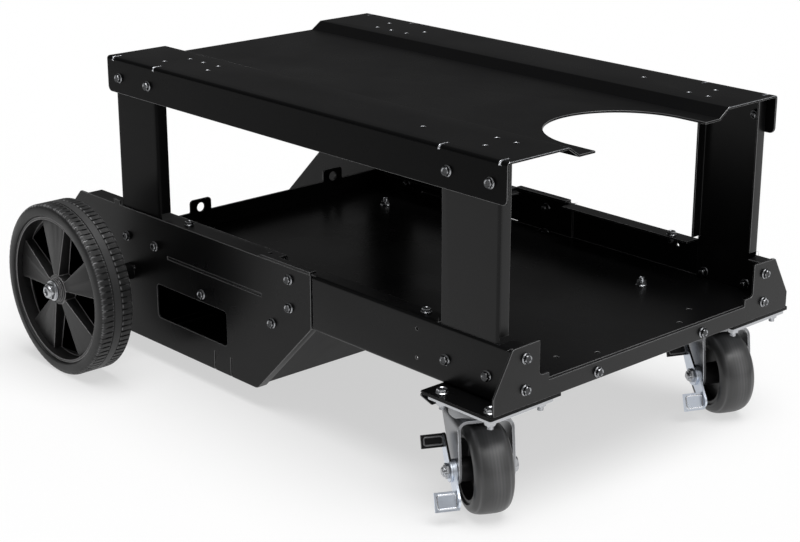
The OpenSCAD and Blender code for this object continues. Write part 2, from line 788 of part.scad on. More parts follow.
module front_bolts() {
    at_front_bolts() frame_bolts(2 * sheet);
}

module front_nuts() {
    at_front_bolts() frame_nuts(2 * sheet);
}

module caster_bolts() {
    at_caster_bolts() frame_bolts(bracket_t + plate_t);
}

module caster_nuts() {
    at_caster_bolts() frame_nuts(bracket_t + plate_t);
}

module floor_bolts() {
    at_floor_bolts() frame_bolts(sheet);
}

module floor_nuts() {
    at_floor_bolts() frame_nuts(sheet);
}

module rim_bolts() {
    at_rim_bolts([rim_bolt_x[0]]) frame_bolts(2 * sheet);
    at_rim_bolts([rim_bolt_x[1]]) frame_bolts(sheet);
}

module rim_nuts() {
    at_rim_bolts([rim_bolt_x[0]]) frame_nuts(2 * sheet);
    at_rim_bolts([rim_bolt_x[1]]) frame_nuts(sheet);
}

// Rear axle and what is on it
module axle() {
    color(bright_zinc) translate([axle_x, axle_end_y, wheel_r]) rotate([90, 0, 0])
        cylinder(r = axle_r, h = 2 * axle_end_y);
}

module axle_spacers() {
    for (side = [LEFT, RIGHT])
        color(steel_black) on_side(side, axle_x, half_w, wheel_r) difference() {
            cylinder(r = axle_r + spacer_wall, h = hub_in_y - face_gap - half_w);
            translate([0, 0, -1]) cylinder(r = axle_r + running_fit, h = long / 10);
        }
}

module axle_washers() {
    for (side = [LEFT, RIGHT])
        color(bright_zinc) on_side(side, axle_x, hub_out_y + face_gap, wheel_r) difference() {
            cylinder(r = washer_r, h = washer_t);
            translate([0, 0, -1]) cylinder(r = axle_r + running_fit, h = washer_t + 2);
        }
}

module axle_nuts() {
    for (side = [LEFT, RIGHT])
        color(bright_zinc) on_side(side, axle_x, hub_out_y + face_gap + washer_t, wheel_r) difference() {
            hex(axle_nut_af, axle_nut_h);
            translate([0, 0, -1]) cylinder(r = axle_r + running_fit, h = axle_nut_h + 2);
        }
}

// Puts a rear wheel's piece in place, with its +Z outward from the wheel's middle plane
module wheel_place(side) {
    on_side(side, axle_x, wheel_y, wheel_r) children();
}

// Ring of teeth that stand between the tread's cross grooves
function tread_ring(r_out, r_root) = [
    for (i = [0 : groove_count - 1]) let (pitch = 360 / groove_count, a = i * pitch, g = pitch * groove_share)
        each [[r_root * cos(a), r_root * sin(a)], [r_root * cos(a + g), r_root * sin(a + g)],
              [r_out * cos(a + g), r_out * sin(a + g)],
              [r_out * cos(a + (pitch + g) / 2), r_out * sin(a + (pitch + g) / 2)],
              [r_out * cos(a + pitch), r_out * sin(a + pitch)]]
];

module tyre(side) {
    half = tyre_w / 2;
    root = wheel_r - groove_depth;
    rib = centre_rib / 2;
    seat = rim_r + running_fit;
    section = rounded([[seat, -half + bead_edge], [rim_r + tyre_bead_h, -half], [wheel_r - shoulder_h, -half],
                       [root, -tread_half], [root, tread_half], [wheel_r - shoulder_h, half],
                       [rim_r + tyre_bead_h, half], [seat, half - bead_edge]],
                      [0, 2, 6, 3, 3, 6, 2, 0]);
    rib_section = [[root - 3, -rib], [wheel_r - rib_edge, -rib], [wheel_r, -rib + rib_edge],
                   [wheel_r, rib - rib_edge], [wheel_r - rib_edge, rib], [root - 3, rib]];
    band_w = tread_half - rib - 2 * band_gap;
    color(rubber_black) wheel_place(side) {
        rotate_extrude($fn = 128) polygon(section);
        rotate_extrude($fn = 128) polygon(rib_section);
        for (z = [rib + band_gap, -rib - band_gap - band_w])
            translate([0, 0, z]) linear_extrude(band_w) difference() {
                polygon(tread_ring(wheel_r, root - 1));
                circle(r = root - 3, $fn = 128);
            }
    }
}

module rim(side) {
    barrel = [[rim_r - rim_wall, -rim_half], [rim_r - 1, -rim_half], [rim_r, -rim_half + 1],
              [rim_r, rim_half - 1], [rim_r - 1, rim_half], [rim_r - rim_wall, rim_half]];
    hub_low = hub_in_y - wheel_y;
    hub_high = hub_out_y - wheel_y;
    color(moulded_black) wheel_place(side) difference() {
        union() {
            rotate_extrude($fn = 128) polygon(barrel);
            cylinder(r = rim_r - rim_wall + 0.5, h = 2 * web_half, center = true, $fn = 128);
            rotate_extrude() polygon(hub_section(hub_low, hub_high));
            intersection() {
                rotate_extrude($fn = 128) polygon(spoke_section);
                union() for (k = [0 : spoke_count - 1])
                    linear_extrude(tyre_w, center = true)
                        polygon(spoke_plan(k * 360 / spoke_count - side * spoke_phase));
            }
        }
        translate([0, 0, hub_low - 1]) cylinder(r = hub_bore_r, h = hub_high - hub_low + 2);
    }
}
spoke_section = [[hub_r - 2, -rim_half + 1], [spoke_r, -rim_half + 4], [spoke_r, rim_half - 9],
                 [hub_r - 2, rim_half - 4.5]];
// Hub with a stepped outer end
function hub_section(low, high) = let (boss = high - hub_boss_h, ring = boss - hub_ring_h) [
    [0, low], [hub_r, low], [hub_r, ring], [hub_r - 5, ring], [hub_r - 5, boss], [hub_r - 8, boss],
    [hub_r - 8, high], [0, high]
];
// Wedge from the hub to the spoke's round end
function spoke_plan(a) = concat([[0, 0]],
    [for (k = [-1, 1]) (spoke_r + 5) * [cos(a + k * spoke_half_angle), sin(a + k * spoke_half_angle)]]);

module wheel_bushes(side) {
    hub_low = hub_in_y - wheel_y;
    hub_high = hub_out_y - wheel_y;
    color(bright_zinc) wheel_place(side)
        for (z = [hub_low, hub_high - bush_len]) translate([0, 0, z]) difference() {
            cylinder(r = hub_bore_r - running_fit, h = bush_len);
            translate([0, 0, -1]) cylinder(r = axle_r + running_fit, h = bush_len + 2);
        }
}

// Casters: local X is the rolling direction, local Y the axle, and the swivel axis is local Z
module caster_place(side) {
    heading = side > 0 ? heading_left : heading_right;
    translate([swivel_x, side * swivel_y, 0]) rotate([0, 0, heading]) children();
}

// Puts a piece at the caster wheel's centre with its +Z along the axle, away from the brake
module caster_wheel_place(side) {
    caster_place(side) translate([caster_trail, 0, caster_r]) rotate([-90, 0, 0]) children();
}

// Round channel that the swivel balls run in
module ball_track() {
    translate([0, 0, ball_z]) rotate_extrude() translate([ball_ring_r, 0])
        circle(r = ball_r + face_gap, $fn = 32);
}

module caster_plate(side) {
    plan = rounded([[plate_rear_x, swivel_y - plate_half_y], [plate_front_x, swivel_y - plate_half_y],
                    [plate_front_x, swivel_y + plate_half_y], [plate_rear_x, swivel_y + plate_half_y]],
                   [6, 6, 6, 6]);
    color(bright_zinc) difference() {
        union() {
            translate([0, 0, plate_bottom]) linear_extrude(plate_t)
                polygon([for (p = plan) [p[0], side * p[1]]]);
            translate([swivel_x, side * swivel_y, 0]) rotate_extrude()
                polygon([[kingpin_r, ball_z + race_gap], [race_r, ball_z + race_gap],
                         [race_r, ball_z + race_gap + 3], [race_r - 3, plate_bottom + eps],
                         [kingpin_r, plate_bottom + eps]]);
        }
        translate([swivel_x, side * swivel_y, 0]) {
            ball_track();
            cylinder(r = kingpin_r + running_fit, h = long / 10);
        }
        at_caster_bolts() drill();
    }
}

module kingpin(side) {
    color(bright_zinc) translate([swivel_x, side * swivel_y, 0]) {
        low = crown_top - fork_t - face_gap;
        translate([0, 0, low]) cylinder(r = kingpin_r, h = plate_top - low + eps);
        translate([0, 0, plate_top])
            cylinder(r1 = kingpin_head_r, r2 = kingpin_head_r - 4, h = bracket_t - 1);
        translate([0, 0, low - kingpin_head_h]) rotate_extrude()
            polygon([[0, 0], [kingpin_head_r - 4, 0], [kingpin_head_r, 3],
                     [kingpin_head_r, kingpin_head_h + eps], [0, kingpin_head_h + eps]]);
    }
}

module caster_fork(side) {
    color(bright_zinc) caster_place(side) difference() {
        union() {
            intersection() {
                along_x(-crown_back, crown_front) polygon(sheet_section(reversed(fork_path), fork_t));
                along_y(-fork_out - 1, fork_out + 1) fork_side();
            }
            translate([0, 0, crown_top - eps]) rotate_extrude()
                polygon([[kingpin_r, 0], [race_r + 2, 0], [race_r, ball_z - race_gap - crown_top],
                         [kingpin_r, ball_z - race_gap - crown_top]]);
        }
        ball_track();
        translate([0, 0, crown_top - fork_t - 1]) cylinder(r = kingpin_r + running_fit, h = long / 10);
        translate([caster_trail, 0, caster_r]) rotate([90, 0, 0])
            cylinder(r = caster_axle_r + running_fit, h = 3 * fork_out, center = true);
    }
}

fork_path = [[-fork_out, 0], [-fork_out, crown_top], [fork_out, crown_top], [fork_out, 0]];

// Side view of the fork as (along, up): broad at the crown, hollow in front, round at the axle
module fork_side() {
    foot = [caster_trail, caster_r];
    crown_low = crown_top - crown_edge;
    neck = [caster_trail + leg_foot_r - 5, crown_top - leg_neck];
    front = tangent_point(neck, foot, leg_foot_r, -1);
    back = tangent_point([-crown_back, crown_low], foot, leg_foot_r, 1);
    start = angle_of(back - foot);
    sweep = (angle_of(front - foot) - start + 360) % 360;
    steps = 12;
    arc = [for (i = [0 : steps]) foot + turned(back - foot, sweep * i / steps)];
    polygon(rounded(
        concat([[crown_front, crown_top + 1], [-crown_back, crown_top + 1], [-crown_back, crown_low]], arc,
               [neck, [crown_front, crown_low]]),
        concat([0, 0, 6], [for (p = arc) 0], [leg_neck_r, 4])));
}
function angle_of(v) = atan2(v[1], v[0]);
// Where the line from p touches the circle at c of radius r; side 1 takes the left touch, -1 the right
function tangent_point(p, c, r, side) =
    let (d = norm(p - c), a = acos(r / d)) c + r * unit(turned(p - c, side * a));

module swivel_balls(side) {
    color(bright_zinc) caster_place(side)
        for (i = [0 : ball_count - 1]) rotate([0, 0, i * 360 / ball_count])
            translate([ball_ring_r, 0, ball_z]) sphere(r = ball_r, $fn = 24);
}

module caster_tread(side) {
    half = caster_w / 2;
    section = rounded([[core_r + running_fit, -half + 2], [caster_r - 8, -half], [caster_r, -half + 6],
                       [caster_r, half - 6], [caster_r - 8, half], [core_r + running_fit, half - 2]],
                      [0, 5, tread_round, tread_round, 5, 0]);
    color(rubber_black) caster_wheel_place(side) rotate_extrude($fn = 96) polygon(section);
}

module caster_core(side) {
    half = caster_w / 2 - 2.5;
    color(moulded_black) caster_wheel_place(side) difference() {
        union() {
            rotate_extrude($fn = 96)
                polygon([[core_r - 5, -half], [core_r - 1, -half], [core_r, -half + 1], [core_r, half - 1],
                         [core_r - 1, half], [core_r - 5, half]]);
            cylinder(r = core_r - 4, h = 2 * core_web_half, center = true, $fn = 96);
            cylinder(r = core_hub_r, h = fork_gap - 4 * face_gap, center = true);
        }
        cylinder(r = sleeve_r + running_fit, h = fork_gap, center = true);
    }
}

module caster_sleeve(side) {
    color(bright_zinc) caster_wheel_place(side) difference() {
        cylinder(r = sleeve_r, h = fork_gap, center = true);
        cylinder(r = caster_axle_r + running_fit, h = fork_gap + 2, center = true);
    }
}

// Axle bolt and its nut, two solids: the nut is on the brake side
module caster_axle(side) {
    color(bright_zinc) caster_wheel_place(side) {
        shank = fork_out + nut_seat + axle_head_h + thread_end;
        translate([0, 0, fork_out - shank]) cylinder(r = caster_axle_r, h = shank + eps);
        translate([0, 0, fork_out]) hex(axle_head_af, axle_head_h);
        translate([0, 0, -nut_seat - axle_head_h]) difference() {
            hex(axle_head_af, axle_head_h);
            cylinder(r = caster_axle_r + running_fit, h = 3 * axle_head_h, center = true);
        }
    }
}

// Side brake, drawn as (along, up) about the axle and stood outside the fork on the brake side
module brake_place(side, y0, y1) {
    caster_place(side) translate([caster_trail, 0, caster_r]) along_y(-y1, -y0) children();
}

// Flat bar with round ends from the axle to an end point
module brake_bar(end) {
    v = unit(end);
    n = turned(v, 90);
    difference() {
        union() {
            circle(r = cam_r);
            polygon([n * lever_root_r, -n * lever_root_r, end - n * lever_end_r, end + n * lever_end_r]);
            translate(end) circle(r = lever_end_r);
        }
        circle(r = caster_axle_r + running_fit);
    }
}

// A pedal that stands out from the bar's end, square to the rolling direction
module pedal(end, height, out0, tilt) {
    translate([caster_trail + end[0], 0, caster_r + end[1]]) rotate([0, tilt, 0])
        translate([-pedal_t / 2, -out0 - pedal_reach, -height / 2])
            cube([pedal_t, pedal_reach, height]);
}

module brake_lever(side) {
    color(steel_black) {
        brake_place(side, lever_bar_y, lever_bar_y + lever_t) brake_bar(lever_up);
        caster_place(side) pedal(lever_up, upper_pedal_h, lever_bar_y, -pedal_tilt);
    }
}

module brake_pedal(side) {
    color(bright_zinc) {
        brake_place(side, lever_in, pedal_bar_y + eps) difference() {
            circle(r = cam_r);
            circle(r = caster_axle_r + running_fit);
        }
        brake_place(side, pedal_bar_y, pedal_bar_y + lever_t) brake_bar(lever_down);
        caster_place(side) pedal(lever_down, lower_pedal_h, pedal_bar_y, -pedal_tilt);
    }
}

top_shelf();
upright(LEFT, rear_upright_x);  // upright_rear_left
upright(RIGHT, rear_upright_x);  // upright_rear_right
upright(LEFT, front_upright_x);  // upright_front_left
upright(RIGHT, front_upright_x);  // upright_front_right
base_tray();
side_panel(LEFT);  // side_panel_left
side_panel(RIGHT);  // side_panel_right
cylinder_platform();
rear_wall();
inner_rail(LEFT);  // inner_rail_left
inner_rail(RIGHT);  // inner_rail_right
front_plate();
caster_bracket(LEFT);  // caster_bracket_left
caster_bracket(RIGHT);  // caster_bracket_right
shelf_bolts();
shelf_nuts();
upright_bolts();
upright_nuts();
panel_bolts();
panel_nuts();
front_bolts();
front_nuts();
caster_bolts();
caster_nuts();
floor_bolts();
floor_nuts();
rim_bolts();
rim_nuts();
axle();
axle_spacers();
axle_washers();
axle_nuts();
tyre(LEFT);  // tyre_left
tyre(RIGHT);  // tyre_right
rim(LEFT);  // rim_left
rim(RIGHT);  // rim_right
wheel_bushes(LEFT);  // wheel_bushes_left
wheel_bushes(RIGHT);  // wheel_bushes_right
caster_plate(LEFT);  // caster_plate_left
caster_plate(RIGHT);  // caster_plate_right
kingpin(LEFT);  // kingpin_left
kingpin(RIGHT);  // kingpin_right
caster_fork(LEFT);  // caster_fork_left
caster_fork(RIGHT);  // caster_fork_right
swivel_balls(LEFT);  // swivel_balls_left
swivel_balls(RIGHT);  // swivel_balls_right
caster_tread(LEFT);  // caster_tread_left
caster_tread(RIGHT);  // caster_tread_right
caster_core(LEFT);  // caster_core_left
caster_core(RIGHT);  // caster_core_right
caster_sleeve(LEFT);  // caster_sleeve_left
caster_sleeve(RIGHT);  // caster_sleeve_right
caster_axle(LEFT);  // caster_axle_left
caster_axle(RIGHT);  // caster_axle_right
brake_lever(LEFT);  // brake_lever_left
brake_lever(RIGHT);  // brake_lever_right
brake_pedal(LEFT);  // brake_pedal_left
brake_pedal(RIGHT);  // brake_pedal_right
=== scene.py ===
"""Looks of the welding cart: finishes, rounded sheet edges, wheels, casters and fasteners round its frame."""
import json
import math

import bmesh
import bpy
import numpy as np
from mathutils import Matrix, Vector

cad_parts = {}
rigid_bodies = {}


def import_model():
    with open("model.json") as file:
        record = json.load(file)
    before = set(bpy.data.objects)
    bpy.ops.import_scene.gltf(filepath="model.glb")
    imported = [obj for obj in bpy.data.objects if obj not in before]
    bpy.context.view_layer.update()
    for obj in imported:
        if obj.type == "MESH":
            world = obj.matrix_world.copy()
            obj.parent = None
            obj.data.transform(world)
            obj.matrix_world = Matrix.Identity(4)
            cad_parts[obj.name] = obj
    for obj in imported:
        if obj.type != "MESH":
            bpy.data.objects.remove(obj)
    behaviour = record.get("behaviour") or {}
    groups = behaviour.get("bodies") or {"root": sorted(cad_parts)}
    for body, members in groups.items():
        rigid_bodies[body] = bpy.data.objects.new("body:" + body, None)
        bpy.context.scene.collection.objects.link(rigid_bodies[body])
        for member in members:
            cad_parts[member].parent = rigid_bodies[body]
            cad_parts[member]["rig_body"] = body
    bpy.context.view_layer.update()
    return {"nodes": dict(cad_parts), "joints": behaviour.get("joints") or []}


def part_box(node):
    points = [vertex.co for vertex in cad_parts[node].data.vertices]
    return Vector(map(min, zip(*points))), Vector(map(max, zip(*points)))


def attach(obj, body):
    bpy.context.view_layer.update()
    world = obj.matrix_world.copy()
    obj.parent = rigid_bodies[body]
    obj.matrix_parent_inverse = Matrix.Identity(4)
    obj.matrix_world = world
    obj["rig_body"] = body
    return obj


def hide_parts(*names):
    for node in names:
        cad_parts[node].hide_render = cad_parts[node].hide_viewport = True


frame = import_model()

bl_info = {
    "name": "Welding Cart Looks",
    "version": (1, 0, 0),
    "blender": (4, 5, 0),
    "location": "View3D > Sidebar > Cart",
    "description": "Finishes and detailed pieces for a two-deck welding cart",
    "category": "Object",
}

MM = 0.001
TAU = 2 * math.pi
# A hexagon's turn from one corner to the next
SIXTH = math.pi / 3
# Points nearer to each other than this are one point
MERGE = 0.001 * MM
# Room between a made part and the CAD part that carries it
FIT_GAP = 0.08 * MM
SIDES = {"left": 1, "right": -1}
JOINTS = {joint["name"]: joint for joint in frame["joints"]}
# Coated sheets that are finished all over alike, with the coat of each, whose shine paints the sheet's
# brightness
SHEETS = {
    "upright_rear_left": "rear_coat", "upright_rear_right": "rear_coat", "base_tray": "wall_coat",
    "side_panel_left": "wall_coat", "side_panel_right": "wall_coat", "cylinder_platform": "belly_coat",
    "rear_wall": "powder_coat", "inner_rail_left": "powder_coat", "inner_rail_right": "powder_coat",
    "front_plate": "front_coat", "caster_bracket_left": "powder_coat", "caster_bracket_right": "powder_coat",
    "axle_spacers": "powder_coat",
}
# Fastener groups: whether their bolts point sideways, forwards or up
GROUPS = {"shelf": "side", "upright": "side", "panel": "side", "front": "front",
          "caster": "up", "floor": "up", "rim": "up"}
# Brake pads: inner end along the axle, places along the rolling direction and above the axle, height, slot
# and the raised frame's finish, which is a painted highlight
PADS = {
    "brake_lever": (41.7 * MM, -25 * MM, 30 * MM, 17 * MM, "black_coat", "coat_edge"),
    "brake_pedal": (38.7 * MM, 28 * MM, -27 * MM, 24 * MM, "bright_zinc", "zinc_edge"),
}
# Lamps: how wide each looks, in degrees, and where its light comes from
KEY_WIDTH, KEY_FROM = 50, (0.2, 0.04, 1)
FILL_WIDTH, FILL_FROM = 60, (1.0, 0.15, 0.8)
# Radii of the floor's rings in metres. The last one reaches the horizon, so that the floor is the background
FLOOR_RINGS = (0, 0.5, 1, 2, 4, 8, 16, 40, 100)
SENSOR_WIDTH = 36


def length_setting(label, description, millimetres):
    """A length setting, its default given in millimetres."""
    return bpy.props.FloatProperty(name=label, description=description, default=millimetres * MM,
                                   unit="LENGTH")


def colour_setting(label, description, default):
    """A colour setting."""
    return bpy.props.FloatVectorProperty(name=label, description=description, default=default,
                                         subtype="COLOR")


class CartSizes(bpy.types.PropertyGroup):
    """Sizes of the detail that the finishes and detailed pieces add."""
    sheet_edge: length_setting("Sheet Edge", "Radius of the coated sheets' edges", 0.7)
    slit_width: length_setting("Slit Width", "Width of the relief slits in the shelf's bends", 2.0)
    slit_reach: length_setting("Slit Reach", "How far a relief slit runs in over the shelf", 15)
    metal_edge: length_setting("Metal Edge", "Radius of the zinc parts' edges", 0.4)
    brake_edge: length_setting("Brake Edge", "Radius of the brake pieces' edges", 0.7)
    fork_edge: length_setting("Fork Edge", "Radius of the caster forks' edges", 0.9)
    core_edge: length_setting("Core Edge", "Radius of the caster cores' edges", 0.8)
    moulded_edge: length_setting("Moulded Edge", "Radius of the moulded rims' edges", 0.9)
    head_height: length_setting("Bolt Head", "Height of the bolt heads", 5.5)
    nut_height: length_setting("Nut", "Height of the nuts", 6.5)
    across_flats: length_setting("Across Flats", "Width of the frame's bolt heads and nuts", 11)
    flange_width: length_setting("Flange", "Diameter of the flange under a frame bolt's head", 14.5)
    wide_flats: length_setting("Wide Flats", "Width of the casters' bolt heads and nuts", 13)
    wide_flange: length_setting("Wide Flange", "Diameter of the flange under a caster bolt's head", 17)
    stud_height: length_setting("Stud", "Height of the tray floor's fixings over the floor", 11)
    bolt_end: length_setting("Bolt End", "How far the caster bolts stand out below their nuts", 4)
    groove_count: bpy.props.IntProperty(
        name="Tread Grooves", description="Cross grooves round a rear tyre", default=90)
    groove_depth: length_setting("Groove Depth", "Depth of the tread grooves", 2)
    caster_width: length_setting("Caster Width", "Width of a caster's tread", 51)


class CartColours(bpy.types.PropertyGroup):
    """Colours of the finishes."""
    coat: colour_setting("Coat", "Black powder coat", (0.0042, 0.0042, 0.0044))
    # Painted highlight: the edge colour is far lighter than the coat, so that the rounded edges read as
    # bright lines
    coat_edge: colour_setting("Coat Edge", "Thinner coat along the sheet edges", (0.1, 0.1, 0.102))
    zinc: colour_setting("Zinc", "Bright zinc plate", (0.52, 0.53, 0.55))
    blue_zinc: colour_setting("Blue Zinc", "Bluish zinc plate of the brakes", (0.68, 0.73, 0.83))
    rubber: colour_setting("Rubber", "Black rubber", (0.012, 0.012, 0.0122))
    moulded: colour_setting("Moulded", "Black moulded plastic", (0.016, 0.0155, 0.0158))
    floor: colour_setting("Floor", "Floor's own grey, shown to the eye as white", (0.4, 0.4, 0.4))


class CartStage(bpy.types.PropertyGroup):
    """Camera and light."""
    azimuth: bpy.props.FloatProperty(
        name="Azimuth", description="Camera's direction round the cart", default=math.radians(47.62),
        subtype="ANGLE")
    elevation: bpy.props.FloatProperty(
        name="Elevation", description="Camera's height angle", default=math.radians(18.58), subtype="ANGLE")
    distance: bpy.props.FloatProperty(
        name="Distance", description="From the camera to its target", default=2.5779, unit="LENGTH")
    target: bpy.props.FloatVectorProperty(
        name="Target", description="What the camera looks at", default=(0.076, 0.002, 0.1484), subtype="XYZ")
    lens: bpy.props.FloatProperty(name="Lens", description="Focal length in millimetres", default=79.65)
    key: bpy.props.FloatProperty(name="Key", description="Strength of the overhead light", default=2.5)
    fill: bpy.props.FloatProperty(name="Fill", description="Strength of the fill light", default=0.5)
    sky: bpy.props.FloatProperty(name="Sky", description="Strength of the surrounding light", default=0.12)


# Meshes from grids and profiles

def grid_faces(rows, cols, wrap_rows=False, wrap_cols=False):
    """Quads of a grid: each joins a point to the next one along both ways, wrapping where asked."""
    i, j = np.meshgrid(np.arange(rows if wrap_rows else rows - 1),
                       np.arange(cols if wrap_cols else cols - 1), indexing="ij")
    i2, j2 = (i + 1) % rows, (j + 1) % cols
    return np.stack([i * cols + j, i2 * cols + j, i2 * cols + j2, i * cols + j2], -1).reshape(-1, 4)


def around(steps):
    """Angles at equal steps once round."""
    return np.linspace(0, TAU, steps, endpoint=False)


def round_z(r, a, h):
    """Points round Z: the point at angle a is (r cos a, r sin a, h), with a row for each angle and a column
    for each height."""
    return np.stack([r * np.cos(a)[:, None], r * np.sin(a)[:, None], np.broadcast_to(h, r.shape)],
                    -1).reshape(-1, 3)


def lathe(profile, steps, closed=False):
    """Profile of (distance from the axis, height) carried round Z. A closed one joins its last point to its
    first."""
    r, h = np.asarray(profile, float).T
    points = round_z(np.broadcast_to(r, (steps, len(r))), around(steps), h)
    return points, grid_faces(steps, len(r), True, closed)


def basis(outward, along=(0, 0, 1)):
    """Turn whose third axis is outward and whose first lies as near to along as it can."""
    z = np.array(outward, float) / np.linalg.norm(outward)
    x = np.array(along, float) - z * np.dot(along, z)
    if np.linalg.norm(x) < 1e-6:
        x = np.array((1.0, 0, 0)) - z * z[0]
    x /= np.linalg.norm(x)
    return np.stack([x, np.cross(z, x), z], 1)


def moved(part, origin, turn):
    """A part turned by a matrix of three axes and then moved to an origin."""
    points, faces = part
    return points @ turn.T + np.asarray(origin), faces


def joined(parts):
    """Several parts as one set of points and faces."""
    offsets = np.cumsum([0] + [len(points) for points, _ in parts[:-1]])
    return (np.concatenate([points for points, _ in parts]),
            np.concatenate([faces + k for (_, faces), k in zip(parts, offsets)]))


def box_part(low, high):
    """Box between two corners: its corners counted in binary, with x changing slowest, and six quads."""
    corners = np.stack(np.meshgrid(*zip(low, high), indexing="ij"), -1).reshape(-1, 3)
    faces = [(0, 1, 3, 2), (4, 6, 7, 5), (0, 4, 5, 1), (2, 3, 7, 6), (0, 2, 6, 4), (1, 5, 7, 3)]
    return corners, np.array(faces)


def smooth_step(x):
    """0 below 0, 1 above 1 and 3x^2 - 2x^3 between."""
    x = np.clip(x, 0, 1)
    return x * x * (3 - 2 * x)


def bell(x, middle, width):
    """Bell curve: 1 at the middle, falling as e to the power of minus the squared distance in widths."""
    return np.exp(-((x - middle) / width) ** 2)


# Pieces

def new_mesh(name, part):
    """Mesh of a part's points and faces."""
    points, faces = part
    mesh = bpy.data.meshes.new(name)
    mesh.from_pydata(points.tolist(), [], faces.tolist())
    return mesh


def linked(name, data):
    """New object in the scene."""
    thing = bpy.data.objects.new(name, data)
    bpy.context.scene.collection.objects.link(thing)
    return thing


def places_of(mesh):
    """A mesh's points, one a row."""
    points = np.empty(len(mesh.vertices) * 3)
    mesh.vertices.foreach_get("co", points)
    return points.reshape(-1, 3)


def make_piece(name, part, body, materials, nodes=(), smooth=35, edge=0.0):
    """Makes a piece from points and quads: poles closed, faces outward, smooth up to an angle, edges
    rounded."""
    mesh = new_mesh(name, part)
    bm = bmesh.new()
    bm.from_mesh(mesh)
    bmesh.ops.remove_doubles(bm, verts=bm.verts, dist=MERGE)
    bmesh.ops.recalc_face_normals(bm, faces=bm.faces)
    bm.to_mesh(mesh)
    bm.free()
    return dress_mesh(name, mesh, body, materials, nodes, smooth, edge)


def dress_mesh(name, mesh, body, materials, nodes=(), smooth=35, edge=0.0, clamp=True):
    """Puts a finished mesh into the scene as a piece that rides on a body and stands for CAD nodes. Its
    rounded edges get the last material. clamp holds them back where they would meet, which also thins them on
    dense meshes."""
    mesh.shade_smooth()
    mesh.set_sharp_from_angle(angle=math.radians(smooth))
    mesh.materials.clear()
    for material in materials:
        mesh.materials.append(material)
    piece = linked(name, mesh)
    if edge > 0:
        bevel = piece.modifiers.new("rounded edges", "BEVEL")
        bevel.width = edge
        bevel.segments = 2
        bevel.limit_method = "ANGLE"
        bevel.angle_limit = math.radians(smooth)
        bevel.harden_normals = True
        bevel.use_clamp_overlap = clamp
        bevel.loop_slide = False
        bevel.material = len(materials) - 1
    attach(piece, body)
    if nodes:
        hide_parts(*nodes)
    return piece


def finish_faces(piece, chosen):
    """Gives the faces that a test picks the piece's second finish. The test takes every face's middle and
    normal as arrays and returns an array of true and false."""
    faces = piece.data.polygons
    middles, normals = np.empty(len(faces) * 3), np.empty(len(faces) * 3)
    faces.foreach_get("center", middles)
    faces.foreach_get("normal", normals)
    indices = np.empty(len(faces), int)
    faces.foreach_get("material_index", indices)
    indices[chosen(middles.reshape(-1, 3), normals.reshape(-1, 3))] = 1
    faces.foreach_set("material_index", indices)


def paint_sheen(piece, wear):
    """Stores in a UV map's u how much painted sheen, a painted highlight, the surface takes, from 0 to 1, as
    a function of each point's place."""
    mesh = piece.data
    corners = np.empty(len(mesh.loops), int)
    mesh.loops.foreach_get("vertex_index", corners)
    rub = np.clip(wear(places_of(mesh)), 0, 1)[corners]
    mesh.uv_layers.new(name="rub").data.foreach_set("uv", np.stack([rub, rub], 1).ravel())


def bake_bevel(piece):
    """Makes a piece's rounded edges part of its mesh, so that their faces can be picked."""
    graph = bpy.context.evaluated_depsgraph_get()
    mesh = bpy.data.meshes.new_from_object(piece.evaluated_get(graph), preserve_all_data_layers=True,
                                           depsgraph=graph)
    piece.modifiers.clear()
    piece.data = mesh


def cut_out(mesh, parts):
    """A mesh with closed parts cut out of it."""
    body, tool = linked("scratch", mesh), linked("scratch", new_mesh("tool", joined(parts)))
    cut = body.modifiers.new("cut", "BOOLEAN")
    cut.operation = "DIFFERENCE"
    cut.solver = "EXACT"
    cut.object = tool
    result = bpy.data.meshes.new_from_object(body.evaluated_get(bpy.context.evaluated_depsgraph_get()))
    for scratch in (body, tool):
        bpy.data.objects.remove(scratch)
    return result


def merged_copy(name, node, flat=0.0):
    """Copy of a CAD node's mesh with its doubles merged and, where an angle is given, the faces joined that
    lie flat within it."""
    mesh = bpy.data.meshes.new(name)
    bm = bmesh.new()
    bm.from_mesh(frame["nodes"][node].data)
    bmesh.ops.remove_doubles(bm, verts=bm.verts, dist=MERGE)
    if flat > 0:
        bmesh.ops.dissolve_limit(bm, angle_limit=math.radians(flat), verts=bm.verts, edges=bm.edges)
    bm.to_mesh(mesh)
    bm.free()
    return mesh


def edged_copy(node, materials, edge, smooth=32, cuts=(), clamp=True):
    """A CAD node's own shape with its edges rounded, after any cuts."""
    mesh = merged_copy(node + "_dressed", node, flat=0.5)
    if cuts:
        mesh = cut_out(mesh, cuts)
    body = frame["nodes"][node]["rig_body"]
    return dress_mesh(node + "_dressed", mesh, body, materials, (node,), smooth, edge, clamp)


def islands(node):
    """Boxes of the separate solids in a CAD node. Each point takes the lowest label among its neighbours
    until none changes, so that every solid ends up with one label."""
    mesh = merged_copy("scratch", node)
    points = places_of(mesh)
    edges = np.empty(len(mesh.edges) * 2, int)
    mesh.edges.foreach_get("vertices", edges)
    edges = edges.reshape(-1, 2)
    bpy.data.meshes.remove(mesh)
    label = np.arange(len(points))
    while True:
        low = np.minimum(label[edges[:, 0]], label[edges[:, 1]])
        new = label.copy()
        np.minimum.at(new, edges[:, 0], low)
        np.minimum.at(new, edges[:, 1], low)
        if np.array_equal(new, label):
            break
        label = new
    return [(points[label == k].min(0), points[label == k].max(0)) for k in np.unique(label)]


# Materials

def new_group(name, inputs, outputs):
    """Shader node group with named float inputs and outputs."""
    group = bpy.data.node_groups.new(name, "ShaderNodeTree")
    for label, default in inputs.items():
        socket = group.interface.new_socket(label, in_out="INPUT", socket_type="NodeSocketFloat")
        socket.default_value = default
    for label in outputs:
        group.interface.new_socket(label, in_out="OUTPUT", socket_type="NodeSocketFloat")
    return group, group.nodes.new("NodeGroupInput"), group.nodes.new("NodeGroupOutput")


